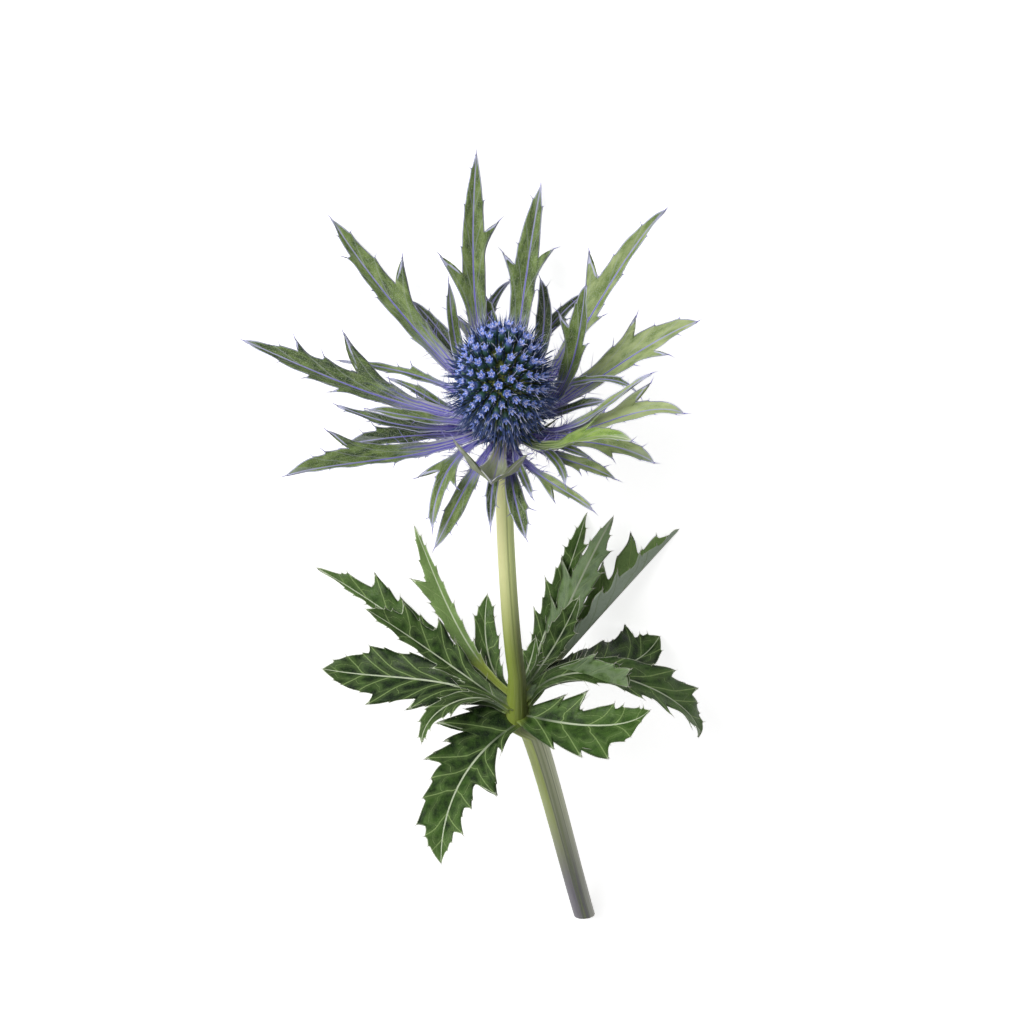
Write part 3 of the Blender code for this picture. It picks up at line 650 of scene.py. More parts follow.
def sheet_faces(rows, columns):
    """Faces of a closed sheet: an upper grid and a lower grid that share their margins."""
    upper = np.arange(rows * columns).reshape(rows, columns)
    inner = rows * columns + np.arange(rows * (columns - 2)).reshape(rows, columns - 2)
    lower = np.concatenate((upper[:, :1], inner, upper[:, -1:]), axis=1)
    tip = rows * columns + rows * (columns - 2)
    faces, slots = [], []
    for grid, slot in ((upper, 0), (lower, 1)):
        a, b, c, d = grid[:-1, :-1], grid[:-1, 1:], grid[1:, 1:], grid[1:, :-1]
        order = (a, b, c, d) if slot == 0 else (d, c, b, a)
        faces += np.stack(order, axis=-1).reshape(-1, 4).tolist()
        last = grid[-1].tolist()
        ends = [[last[i], last[i + 1], tip] for i in range(columns - 1)]
        faces += ends if slot == 0 else [end[::-1] for end in ends]
        slots += [slot] * (len(faces) - len(slots))
    faces.append(upper[0].tolist()[::-1] + inner[0].tolist())
    return faces, slots + [1]


def make_blade(blade, style, number, slot, materials):
    """Bract or leaf with its spines, in place of its solid."""
    growth, sheet = Growth(), Sheet(blade, style, number)
    sheet.add_faces(growth)
    sheet.add_spines(growth)
    growth.finish(blade.name + "_blade", blade.name, slot, materials)


# ---- cone of florets

CONE_RADIUS = 9.7
CONE_HALF_LENGTH = 16.8
CONE_MIDDLE = 12.0
CONE_SHIFT = (0.8, 0.0, 0.0)  # the cone leans a little to +X
CONE_CENTRE = HEAD + HEAD_CROWN.axis * CONE_MIDDLE + CONE_SHIFT
CONE_FOOT = math.acos(-CONE_MIDDLE / CONE_HALF_LENGTH)  # the egg's angle from its tip to its foot
CORE_SHARE = 0.76  # size of the core under the florets
CORE_RINGS, CORE_SIDES = 36, 48
FLORETS = 180
CUP_DEPTH = 0.9  # share of the depth of the florets
CUP_WIDTH = 2.1
CUP_FOOT = 0.6  # depth of its foot in the core
SEPAL_SIZE, SEPAL_PLACE, SEPAL_BEND = (1.12, 0.8, 0.26), 0.24, -0.12
SEPAL_LEAN = (35.0, 52.0)
PETAL_SIZE, PETAL_PLACE, PETAL_BEND = (0.62, 0.3, 0.2), 0.16, 0.25
PETAL_LEAN = 0.15
BRACTEOLE_WIDTHS = (0.6, 0.3)
FOOT_WIDTHS = (0.85, 0.4)  # of the larger bracteoles at the cone's foot
FOOT_STEP = 7.0  # degrees from one of those to the next, on average
FILAMENT_WIDTH = 0.13
UPPER_FACE = (0.0, -0.66, 0.75)  # the side of the cone with the shortest bracteoles
GOLDEN_TURN = 137.508
CUP_PROFILE = ((0.0, 0.4), (0.25, 0.8), (0.5, 1.0), (0.75, 0.82), (0.93, 0.55))
SEPAL_PROFILE = ((0.0, 0.7), (0.3, 1.0), (0.65, 0.7), (0.88, 0.32))
PETAL_PROFILE = ((0.0, 0.6), (0.4, 1.0), (0.8, 0.8))
BRACTEOLE_PROFILE = ((0.0, 1.0), (0.35, 0.8), (0.65, 0.5), (0.88, 0.22))
FILAMENT_PROFILE = ((0.0, 1.0), (0.35, 0.9), (0.7, 0.75), (0.93, 0.6))


class Florets:
    """Where the florets sit on the egg-shaped cone, in spirals turned by the golden angle."""

    def __init__(self):
        # Equal shares of the egg's surface, from its tip to its foot.
        angles = np.linspace(0.0, CONE_FOOT, 400)
        slope = np.hypot(CONE_RADIUS * np.cos(angles), CONE_HALF_LENGTH * np.sin(angles))
        area = np.cumsum(CONE_RADIUS * np.sin(angles) * slope)
        share = (np.arange(FLORETS) + 0.6) / FLORETS
        polar = np.interp(share * area[-1], area, angles)
        turn = np.radians(GOLDEN_TURN * np.arange(FLORETS))
        ring = swung(HEAD_CROWN.down, HEAD_CROWN.side, turn)
        height = CONE_HALF_LENGTH * np.cos(polar)[:, None]
        offset = ring * (CONE_RADIUS * np.sin(polar)[:, None]) + HEAD_CROWN.axis * height
        rng = np.random.default_rng(7)
        self.root = CONE_CENTRE + offset * CORE_SHARE
        self.outer = CONE_CENTRE + offset
        self.out = unit(unit(offset) + rng.normal(0.0, 0.05, offset.shape))
        self.east = unit(np.cross(HEAD_CROWN.axis + 0.01 * ring, self.out))
        self.north = np.cross(self.out, self.east)
        self.depth = np.linalg.norm(self.outer - self.root, axis=1)

    def radial(self, angle):
        """Directions across the florets' axes."""
        return swung(self.east, self.north, angle)


def finish_cone(growth, name, material):
    """Make one piece of the cone."""
    growth.finish(name, "flower_cone", "florets", [material])


def make_core(material):
    """Fleshy core under the florets."""
    angle = CONE_FOOT * (1.0 - np.arange(CORE_RINGS) / CORE_RINGS)
    ring = swung(HEAD_CROWN.down, HEAD_CROWN.side, full_turn(CORE_SIDES))
    radius = CORE_SHARE * CONE_RADIUS * np.sin(angle)
    height = CONE_HALF_LENGTH * np.cos(angle)
    height = np.where(height > 0.0, CORE_SHARE * height, height)
    points = CONE_CENTRE + ring * radius[:, None, None] + HEAD_CROWN.axis * height[:, None, None]
    tip = CONE_CENTRE + HEAD_CROWN.axis * (CORE_SHARE * CONE_HALF_LENGTH)
    points = np.concatenate((points.reshape(-1, 3), tip[None]))
    growth = Growth()
    growth.add(points, tube_faces(CORE_RINGS, CORE_SIDES), flat=points)
    finish_cone(growth, "cone_core", material)


def make_florets(florets, materials):
    """Florets: a scaly cup, five pointed sepals and folded petals each."""
    rng = np.random.default_rng(11)
    out = florets.out
    size, tint, spin = (rng.uniform(*span, FLORETS) for span in ((0.88, 1.12), (-1.0, 1.0), (0.0, 6.3)))
    zone = (0.0, tint)
    # Sepals and petals are as long and as wide as the size of their floret says.
    grow = np.array((size, size, np.ones(FLORETS)))
    sepal_size, petal_size = (grow * np.array(span)[:, None] for span in (SEPAL_SIZE, PETAL_SIZE))

    cups, sepals, petals = Growth(), Growth(), Growth()
    depth = florets.depth * CUP_DEPTH
    start = florets.root - out * CUP_FOOT
    span = (depth + CUP_FOOT, CUP_WIDTH * size, CUP_WIDTH * size)
    add_needles(cups, start, out, florets.east, span, CUP_PROFILE, sides=9, zone=zone)
    mouth = florets.root + out * (depth * 0.97)[:, None]
    for turn in full_turn(5):
        radial = florets.radial(spin + turn)
        around = np.cross(out, radial)
        start = mouth + radial * (SEPAL_PLACE * size)[:, None]
        forward = swung(out, radial, np.radians(rng.uniform(*SEPAL_LEAN, FLORETS)))
        add_needles(sepals, start, forward, around, sepal_size, SEPAL_PROFILE, SEPAL_BEND, 6, zone=zone)
        start = mouth + radial * (PETAL_PLACE * size)[:, None]
        forward = unit(out + radial * PETAL_LEAN)
        add_needles(petals, start, forward, around, petal_size, PETAL_PROFILE, PETAL_BEND, zone=zone)
    finish_cone(cups, "cone_cups", materials["cup"])
    finish_cone(sepals, "cone_sepals", materials["sepal"])
    finish_cone(petals, "cone_petals", materials["petal"])


def make_bracteoles(florets, material):
    """Stiff, needle-like bracteoles between the florets, and larger ones at the cone's foot."""
    rng = np.random.default_rng(23)
    side_on = 1.0 - smooth((florets.out @ UPPER_FACE - 0.25) / 0.6)
    growth = Growth()
    for k in range(6):
        radial = florets.radial(math.pi * k / 3 + rng.uniform(-0.4, 0.4, FLORETS))
        start = florets.root + radial * 1.15 - florets.out * 0.4
        length = florets.depth + rng.uniform(-0.4, 0.6, FLORETS)
        length = length + rng.uniform(1.8, 4.6, FLORETS) * side_on
        forward = unit(florets.out + radial * 0.06 + rng.normal(0.0, 0.05, radial.shape))
        across = unit(np.cross(forward, radial))
        bend, tint = rng.uniform(-0.08, 0.12, FLORETS), rng.uniform(-1.0, 1.0, FLORETS)
        span = (length, *BRACTEOLE_WIDTHS)
        add_needles(growth, start, forward, across, span, BRACTEOLE_PROFILE, bend, zone=(0.0, tint))
    turn = np.arange(0.0, 360.0, FOOT_STEP)
    turn = turn + rng.uniform(-3.0, 3.0, len(turn))
    ring = np.array([HEAD_CROWN.outward(angle) for angle in turn])
    start = HEAD + ring * 5.0 + HEAD_CROWN.axis * 0.8
    forward = unit(ring + HEAD_CROWN.axis * rng.uniform(-0.15, 0.5, len(turn))[:, None])
    across = unit(np.cross(forward, HEAD_CROWN.axis))
    span = (rng.uniform(5.5, 9.5, len(turn)), *FOOT_WIDTHS)
    add_needles(growth, start, forward, across, span, BRACTEOLE_PROFILE, 0.1, zone=(0.0, -1.5))
    finish_cone(growth, "cone_bracteoles", material)


def make_filaments(florets, material):
    """Fine pale filaments that stand out of the florets, mostly on one side."""
    rng = np.random.default_rng(31)
    growth = Growth()
    for _ in range(4):
        chosen = rng.random(FLORETS) < 0.22 + 0.65 * (florets.out[:, 0] < 0.05)
        radial = florets.radial(rng.uniform(0.0, 6.3, FLORETS))
        start = (florets.outer - florets.out * 0.7 + radial * 0.2)[chosen]
        forward = florets.out + radial * 0.45 + rng.normal(0.0, 0.12, radial.shape)
        forward = unit(forward)[chosen]
        across = unit(np.cross(forward, radial[chosen]))
        count = len(start)
        span = (rng.uniform(1.4, 3.2, count), FILAMENT_WIDTH, FILAMENT_WIDTH)
        bend, tint = rng.uniform(-0.4, 0.4, count), rng.uniform(-1.0, 1.0, count)
        add_needles(growth, start, forward, across, span, FILAMENT_PROFILE, bend, 4, zone=(0.0, tint))
    finish_cone(growth, "cone_filaments", material)


# ---- stem

TOP_RADIUS, NODE_RADIUS = 1.95, 2.15  # of the upper stem, from its top to the node
LOW_RADIUS, CUT_RADIUS = 2.95, 2.83  # of the lower stem, from the node to the cut
COLLAR_LENGTH = 9.0
SWELLING_TOP = 13.5
SWELLING_FOOT = 6.5
STEM_BOW = (1.5, 0.0, 0.0)  # bend of the upper stem to +X
KINK = (3.0, 0.0, 0.0)
NECK_HANDLE = 12.0
NODE_HANDLE = 10.0
KINK_HANDLE = (-3.5, 14.0, -3.5)
CUT_HANDLE = (-5.0, 33.0, -10.0)
CUT_NORMAL = np.array((0.0, 0.86, 0.51))  # the end is cut at a slant
COLLAR_PROFILE = ((-GAP, 5.0), (-6.2, 5.0), (-8.5, 3.4))
NODE_PROFILE = ((13.0, 2.15), (7.0, 2.3), (3.0, 2.5), (-2.0, 2.8), (-4.5, 2.9), (-6.0, 2.95))
STEM_SIDES = 120
STEM_STEP = 1.0
# Grooves of the stem: place around it, width and depth.
GROOVES = ((1.45, 0.07, 0.7), (1.9, 0.1, 1.3), (2.5, 0.06, 0.6), (0.75, 0.05, 0.4), (3.6, 0.1, 1.0),
           (4.5, 0.08, 0.8), (5.4, 0.1, 1.0))
SKIN, RIB_SHARE = 0.975, 0.03  # middle of the skin and height of a rib, as shares of the radius
CUT_RING_GAP = 0.06  # least distance between rings of points near the cut
CUT_RINGS = np.array((1.0, 0.94, 0.86, 0.72, 0.5, 0.25))
DISH = 0.35  # depth of the cut face's middle


def stem_knots():
    """Centre, direction and radius at the places that shape the stem, from collar to cut end."""
    neck = HEAD - HEAD_CROWN.axis * COLLAR_LENGTH
    above = NODE + NODE_CROWN.axis * SWELLING_TOP
    below = NODE - NODE_CROWN.axis * SWELLING_FOOT - KINK
    neck_handle = neck - HEAD_CROWN.axis * NECK_HANDLE + STEM_BOW
    upper = (neck, neck_handle, above + NODE_CROWN.axis * NODE_HANDLE + STEM_BOW, above)
    lower = (below, below + KINK_HANDLE, CUT_END - CUT_HANDLE, CUT_END)
    knots = []
    for crown, profile, curve, places, first, last in (
        (HEAD_CROWN, COLLAR_PROFILE, upper, np.linspace(0.12, 0.98, 16), TOP_RADIUS, NODE_RADIUS),
        (NODE_CROWN, NODE_PROFILE, lower, np.linspace(0.05, 1.0, 18), LOW_RADIUS, CUT_RADIUS),
    ):
        knots += [(*(crown.centre + crown.axis * h), *-crown.axis, radius) for h, radius in profile]
        for t in places:
            point, direction = bezier(curve, t)
            knots.append((*point, *direction, first + (last - first) * t))
    return np.array(knots)


def stem_stations():
    """Length so far, centre, direction and radius at close steps along the stem."""
    knots = stem_knots()
    length = np.append(0.0, np.cumsum(np.linalg.norm(np.diff(knots[:, :3], axis=0), axis=1)))
    steps = np.linspace(0.0, length[-1], int(length[-1] / STEM_STEP))
    knots = np.stack([np.interp(steps, length, column) for column in knots.T], axis=1)
    radius = knots[:, 6]
    smoothed = np.convolve(np.pad(radius, 2, mode="edge"), (0.1, 0.2, 0.4, 0.2, 0.1), mode="valid")
    return steps, knots[:, :3], unit(knots[:, 3:6]), np.minimum(smoothed, radius + 0.1)


def stem_ribs(angle, along):
    """Height of the ribs around the stem, from about -1 in a groove to 1 on a rib."""
    drift = 0.05 * np.sin(along / 23.0)
    ribs = 0.25 * np.cos(9.0 * angle + drift) + 0.15 * np.cos(23.0 * angle)
    for place, width, depth in GROOVES:
        ribs = ribs - depth * np.exp(-(((angle + drift - place) / width) ** 2))
    return ribs


def make_stem(materials):
    """Ribbed stem, with its cut face."""
    steps, centre, direction, radius = stem_stations()
    side = np.array((1.0, 0.0, 0.0))
    side = unit(side - direction * np.sum(direction * side, axis=-1, keepdims=True))
    up = np.cross(side, direction)
    angle = full_turn(STEM_SIDES)
    ribs = stem_ribs(angle[None, :], steps[:, None])
    reach = radius[:, None] * (SKIN + RIB_SHARE * ribs)
    points = centre[:, None] + swung(side[:, None], up[:, None], angle[None]) * reach[..., None]
    # Nothing reaches past the slanting cut, and its lower edge rests on the floor.
    past = (points - CUT_END) @ CUT_NORMAL + CUT_RING_GAP * np.arange(len(steps))[::-1, None]
    past[:-1] = np.maximum(past[:-1], 0.0)
    points -= direction[:, None] * (past / (direction @ CUT_NORMAL)[:, None])[..., None]
    points[:, :, 2] = np.maximum(points[:, :, 2], 0.0)
    along = np.broadcast_to(steps[:, None], reach.shape)
    flat = np.stack((along, reach * angle, np.zeros(reach.shape)), -1)
    zone = np.stack((along / steps[-1], ribs, np.broadcast_to(angle, reach.shape)), -1)
    growth = Growth()
    growth.add(points, tube_faces(len(steps), STEM_SIDES)[:-STEM_SIDES], 0, flat=flat, zone=zone)
    add_cut_face(growth, points[-1])
    growth.finish("stem_ribbed", "stem", "stem", materials)


def add_cut_face(growth, rim):
    """Close the cut end with rings, so that its pith and bundles can be coloured."""
    middle = rim.mean(axis=0)
    dish = DISH * (1.0 - CUT_RINGS) ** 2 + 0.05 * np.sin(CUT_RINGS * 30.0)
    normal = unit(np.cross(rim[10] - middle, rim[0] - middle))
    rings = middle + (rim - middle) * CUT_RINGS[:, None, None] + normal * dish[:, None, None]
    rings[..., 2] = np.maximum(rings[..., 2], 0.0)
    points = np.concatenate((rings.reshape(-1, 3), (middle + normal * DISH)[None]))
    zone = np.zeros((len(points), 3))
    zone[:-1, 2] = np.repeat(CUT_RINGS, len(rim))
    growth.add(points, tube_faces(len(CUT_RINGS), len(rim))[1:], 1, flat=points, zone=zone)


# ---- materials


def plug(tree, socket, value):
    """Link an output socket, or set a plain value."""
    if isinstance(value, bpy.types.NodeSocket):
        tree.links.new(value, socket)
    elif isinstance(value, tuple) and socket.type == "RGBA":
        socket.default_value = (*value, 1.0)
    else:
        socket.default_value = value


def add_node(tree, kind, inputs, output=0, **settings):
    """Add a shader node with its settings, fill its inputs and return one of its outputs."""
    node = tree.nodes.new("ShaderNode" + kind)
    for name, value in settings.items():
        setattr(node, name, value)
    for place, value in inputs.items():
        plug(tree, node.inputs[place], value)
    return node.outputs[output]


class Paint:
    """Node tree of one material, and its colour so far. Most methods return a node's output."""

    def __init__(self, name, colour=None):
        self.material = bpy.data.materials.new(name)
        self.material.use_nodes = True
        self.tree = self.material.node_tree
        self.shader = self.tree.nodes["Principled BSDF"]
        self.colour = colour

    def node(self, kind, inputs, output=0, **settings):
        """Add a node."""
        return add_node(self.tree, kind, inputs, output, **settings)

    def measure(self, name):
        """The three numbers of one of the mesh's measures."""
        vector = self.node("Attribute", {}, "Vector", attribute_name=name)
        split = self.tree.nodes.new("ShaderNodeSeparateXYZ")
        self.tree.links.new(vector, split.inputs[0])
        return tuple(split.outputs)

    def flat(self, stretch):
        """The flat measure as a vector for patterns, stretched along and across."""
        vector = self.node("Attribute", {}, "Vector", attribute_name="flat")
        return self.node("Mapping", {"Vector": vector, "Scale": (*stretch, 1.0)})

    def noise(self, scale, detail=3.0, stretch=(1.0, 1.0)):
        """Smooth random pattern from 0 to 1."""
        inputs = {"Vector": self.flat(stretch), "Scale": scale, "Detail": detail}
        return self.node("TexNoise", inputs)

    def net(self, scale, stretch=(1.0, 1.0)):
        """Distance to the borders of random cells."""
        inputs = {"Vector": self.flat(stretch), "Scale": scale}
        return self.node("TexVoronoi", inputs, feature="DISTANCE_TO_EDGE")

    def calc(self, operation, a, b=0.0, c=0.0):
        """One step of arithmetic."""
        return self.node("Math", {0: a, 1: b, 2: c}, operation=operation)

    def times(self, a, b):
        """Product of two numbers."""
        return self.calc("MULTIPLY", a, b)

    def linear(self, a, slope, start):
        """The number a times a slope, plus a start."""
        return self.calc("MULTIPLY_ADD", a, slope, start)

    def gap(self, a, b):
        """Distance between two numbers."""
        return self.calc("ABSOLUTE", self.calc("SUBTRACT", a, b))

    def ease(self, value, start, end, low=0.0, high=1.0):
        """Smooth step from low to high while value goes from start to end."""
        inputs = dict(enumerate((value, start, end, low, high)))
        return self.node("MapRange", inputs, interpolation_type="SMOOTHSTEP")

    def line(self, distance, width, amount=1.0):
        """A soft line where the distance is less than half its width."""
        return self.ease(distance, 0.25 * width, 0.6 * width, amount, 0.0)

    def mix(self, share, first, second):
        """Colour between two colours."""
        inputs = {0: share, 6: first, 7: second}
        return self.node("Mix", inputs, 2, data_type="RGBA", clamp_factor=True)

    def coat(self, share, colour, amount=None):
        """Lay a colour over what is there, by this share and amount."""
        share = share if amount is None else self.times(share, amount)
        self.colour = self.mix(share, self.colour, colour)

    def relief(self, height, strength, depth):
        """Small relief of the surface, depth in metres."""
        normal = self.node("Bump", {"Strength": strength, "Distance": depth, "Height": height})
        plug(self.tree, self.shader.inputs["Normal"], normal)

    def finish(self, roughness, specular=0.3):
        """Set the shader's colour, roughness and gloss."""
        inputs = {"Base Color": self.colour, "Roughness": roughness, "Specular IOR Level": specular}
        for name, value in inputs.items():
            plug(self.tree, self.shader.inputs[name], value)
        return self.material


HAIRS = (0.42, 0.47, 0.38)
BASE_BROWN = (0.2, 0.17, 0.08)
SIDE_VEINS = (0.34, 0.37, 0.37)
BESIDE_MIDRIB = (0.36, 0.68)  # shares of the half width at which two veins run beside the midrib


def blade_measures(paint):
    """Distances to the midrib, side vein and margin, share between side veins, and half width."""
    _, across, _ = paint.measure("flat")
    passed, step, to_margin = paint.measure("lines")
    to_midrib = paint.calc("ABSOLUTE", across)
    between = paint.calc("PINGPONG", passed, 0.5)
    half = paint.calc("ADD", to_midrib, to_margin)
    return to_midrib, paint.times(between, step), to_margin, between, half


def bract_face(name, dark, light, bright, mauve, vein, midrib, rim):
    """Face of a bract: green with a mauve base, violet midrib and rim; painted light makes high-tint
    blades bright.
    """
    paint = Paint(name, dark)
    to_midrib, to_vein, to_margin, _, half = blade_measures(paint)
    along, tint, share = paint.measure("zone")
    mottle = paint.noise(0.9, 4.0, (0.3, 0.8))
    streaks = paint.noise(1.5, 3.0, (0.16, 2.6))
    net = paint.net(1.3, (0.5, 1.0))
    # Painted light and shade: the tint lightens or darkens each blade for how it faces the light.
    shade = paint.linear(tint, 0.22, paint.linear(streaks, 0.5, mottle))
    paint.coat(paint.ease(shade, 0.52, 0.98), light)
    # Painted light: blades with a high tint turn bright green in patches.
    lit = paint.linear(paint.calc("SUBTRACT", mottle, 0.5), 6.0, tint)
    paint.coat(paint.ease(lit, 0.4, 3.4), bright)
    paint.coat(paint.ease(net, 0.0, 0.1, 0.16, 0.0), bright)
    fibres = paint.noise(1.4, 2.0, (0.25, 6.0))
    specks = paint.noise(5.0, 2.0, (0.7, 1.0))
    hairs = paint.calc("MAXIMUM", paint.ease(fibres, 0.5, 0.75, 0.0, 0.34), paint.ease(specks, 0.5, 0.75))
    paint.coat(hairs, HAIRS, 0.5)
    wander = paint.linear(paint.calc("SUBTRACT", streaks, 0.5), 0.5, along)
    paint.coat(paint.ease(wander, 0.46, 0.12), mauve, 0.95)
    # Browner toward the base of each bract.
    paint.coat(paint.ease(along, 0.1, 0.0, 0.0, 0.7), BASE_BROWN)
    # The veins beside the midrib fade out by the middle of the bract.
    for place in BESIDE_MIDRIB:
        beside = paint.times(paint.gap(share, place), half)
        paint.coat(paint.line(beside, 0.34), midrib, paint.ease(along, 0.5, 0.2))
    side_vein = paint.line(to_vein, 0.26, 0.3)
    paint.coat(side_vein, SIDE_VEINS)
    off_midrib = paint.calc("DIVIDE", to_midrib, paint.linear(along, -0.3, 0.62))
    stripe = paint.ease(off_midrib, 0.35, 0.75, 1.0, 0.0)
    paint.coat(stripe, vein, 0.8)
    paint.coat(paint.ease(off_midrib, 0.16, 0.55, 1.0, 0.0), midrib, paint.ease(along, 1.0, 0.5))
    # The rim is the margin's own pale violet, made lighter and broader as a painted highlight.
    paint.coat(paint.line(to_margin, 0.46, 0.9), rim)
    height = paint.linear(side_vein, -0.5, paint.times(specks, 0.8))
    paint.relief(paint.linear(stripe, 0.7, height), 0.55, 0.0002)
    return paint.finish(paint.ease(mottle, 0.2, 0.8, 0.42, 0.6), 0.22)


def leaf_face(name, dark, light, bright, vein, rim, base_colour):
    """Face of a leaf: green, with looped pale veins in a fine net, and a yellow-green base."""
    paint = Paint(name, dark)
    to_midrib, to_vein, to_margin, between, half = blade_measures(paint)
    along, tint, share = paint.measure("zone")
    mottle = paint.noise(0.45, 4.0)
    grain = paint.noise(3.2, 2.0)
    fine = paint.ease(paint.net(1.1, (0.9, 1.0)), 0.0, 0.1, 1.0, 0.0)
    # Painted light and shade: the tint lightens or darkens each leaf for how it faces the light.
    shade = paint.linear(along, 0.3, paint.linear(tint, 0.2, mottle))
    paint.coat(paint.ease(shade, 0.44, 0.96), light)
    # Painted light: leaves with a high tint turn brighter.
    paint.coat(paint.ease(tint, 0.8, 2.4), bright)
    paint.coat(paint.ease(grain, 0.5, 0.8, 0.0, 0.22), bright)
    paint.coat(fine, light, 0.16)
    # Loops join each side vein to the next, bulging toward the margin between them.
    loop = paint.linear(paint.calc("SQRT", between), 0.42, 0.42)
    to_loop = paint.times(paint.gap(share, loop), half)
    nearest = paint.calc("MINIMUM", to_vein, paint.calc("ADD", to_loop, 0.1))
    nearest = paint.calc("ADD", nearest, paint.linear(grain, 0.16, -0.08))
    paint.coat(paint.line(nearest, 1.8, 0.2), bright)
    side_vein = paint.times(paint.line(nearest, 0.3, 0.7), paint.ease(half, 1.2, 3.2, 0.25, 1.0))
    paint.coat(side_vein, vein)
    off_midrib = paint.calc("DIVIDE", to_midrib, paint.linear(along, -0.35, 0.56))
    clear = paint.ease(along, 0.06, 0.3, 0.15, 0.85)
    paint.coat(paint.ease(off_midrib, 0.35, 0.8, 1.0, 0.0), rim, clear)
    # The base turns yellow, farther out on the palest leaf.
    reach = paint.ease(tint, 1.4, 2.0, 0.0, 0.3)
    paint.coat(paint.ease(paint.calc("SUBTRACT", along, reach), 0.0, -0.12), base_colour)
    paint.coat(paint.line(to_margin, 0.36), rim, clear)
    height = paint.linear(side_vein, -0.9, paint.times(grain, 0.25))
    paint.relief(paint.linear(fine, -0.2, height), 0.6, 0.0003)
    return paint.finish(paint.ease(mottle, 0.2, 0.8, 0.32, 0.46), 0.14)


def shaded(name, foot, middle, tip, first=0.35, last=0.95):
    """Spine or floret part that changes colour from its foot to its tip, no two quite alike."""
    paint = Paint(name, foot)
    _, tint, share = paint.measure("zone")
    place = paint.linear(tint, 0.1, share)
    paint.coat(paint.ease(place, 0.0, first), middle)
    paint.coat(paint.ease(place, 0.5 * (first + last), last), tip)
    return paint.finish(0.45)


def core_paint():
    """Yellow-green flesh between the florets."""
    paint = Paint("cone_flesh", (0.12, 0.15, 0.035))
    paint.coat(paint.ease(paint.noise(0.5), 0.35, 0.65), (0.38, 0.43, 0.11))
    return paint.finish(0.7)


STRIPS = (1.6, 2.3)  # angles of the dark lines between the strips of the lower stem


def lower_stem(paint, share, angle):
    """Colour below the node: a yellow-green strip, a greyer one and a pale one, dark lines between."""
    fade = paint.ease(share, 0.58, 0.92)
    low = paint.mix(fade, (0.48, 0.52, 0.32), (0.085, 0.08, 0.095))
    pale = paint.mix(fade, (0.66, 0.7, 0.46), (0.36, 0.36, 0.32))
    edge = paint.mix(fade, (0.62, 0.74, 0.2), (0.17, 0.15, 0.21))
    low = paint.mix(paint.ease(angle, 2.15, 2.45), low, pale)
    low = paint.mix(paint.ease(angle, 1.6, 1.45), low, edge)
    for place in STRIPS:
        low = paint.mix(paint.line(paint.gap(angle, place), 0.12, 0.6), low, (0.09, 0.12, 0.04))
    return low


def stem_paint():
    """Skin of the stem: yellow-green with darker grooves, greyer and more purple low down."""
    paint = Paint("stem_skin")
    share, ribs, angle = paint.measure("zone")
    streaks = paint.noise(1.6, 4.0, (0.02, 1.6))
    specks = paint.noise(2.5, 3.0, (0.3, 1.2))
    around = paint.ease(angle, 0.9, 2.6)
    downward = paint.ease(share, 0.2, 0.37)
    # Painted light: nearly white on the side toward the key lamp, yellow-green on the far side.
    paint.colour = paint.mix(around, (1.0, 1.0, 0.5), (0.7, 0.82, 0.32))
    # Painted shade: darker toward the node, where the leaves shade the stem, darkest on the side away
    # from the lamp.
    paint.coat(downward, paint.mix(around, (0.28, 0.36, 0.05), (0.05, 0.06, 0.01)))
    paint.coat(paint.ease(share, 0.47, 0.53), lower_stem(paint, share, angle))
    groove = paint.ease(paint.linear(streaks, 0.5, ribs), 0.0, -0.7)
    paint.coat(groove, (0.12, 0.17, 0.035), 0.45)
    # The pale streaks take the same painted shade toward the node.
    streak = paint.mix(downward, (0.93, 1.0, 0.55), (0.44, 0.5, 0.26))
    paint.coat(paint.ease(streaks, 0.5, 0.75, 0.0, 0.3), streak)
    paint.coat(specks, (0.4, 0.45, 0.2), 0.12)
    paint.coat(paint.ease(share, 0.06, 0.03), (0.14, 0.12, 0.16))
    paint.relief(paint.linear(streaks, 0.7, specks), 0.3, 0.0002)
    return paint.finish(paint.ease(streaks, 0.3, 0.7, 0.36, 0.55))


def pith_paint():
    """Cut face of the stem: pale pith, a ring of bundles and a green skin."""
    paint = Paint("stem_pith", (0.66, 0.68, 0.48))
    _, _, size = paint.measure("zone")
    dots = paint.net(1.7)
    paint.coat(paint.ease(size, 0.1, 0.7), (0.5, 0.55, 0.3))
    ring = paint.times(paint.ease(size, 0.62, 0.74), paint.ease(size, 0.9, 0.8))
    paint.coat(ring, (0.24, 0.3, 0.1), paint.ease(dots, 0.3, 0.1))
    paint.coat(paint.ease(size, 0.9, 0.98), (0.2, 0.28, 0.08))
    paint.relief(dots, 0.4, 0.0002)
    return paint.finish(0.7)


# ---- the set

# The camera looks down at the flower's face; its picture's up is toward the flower end.
CAMERA_PITCH = 41.0
CAMERA_DISTANCE = 700.0
CAMERA_SHIFT = (1.32, -21.1)  # to its right and up, from straight before the head
LENS = 112.0

# Lamps: offset from the flower in metres, size in metres, and light.
LAMPS = {"key": ((0.5, -0.75, 0.5), 0.6, 0.96), "fill": ((-0.7, -0.3, 0.6), 0.7, 0.1)}
LIT_SPOT = (0.0, -0.04, 0.03)
AMBIENT = 0.22
WHITE = (1.0, 1.0, 1.0)
FLOOR_COLOUR = (0.88, 0.88, 0.88)
FLOOR_GLOW = 0.7
FLOOR_REACH = 4.0


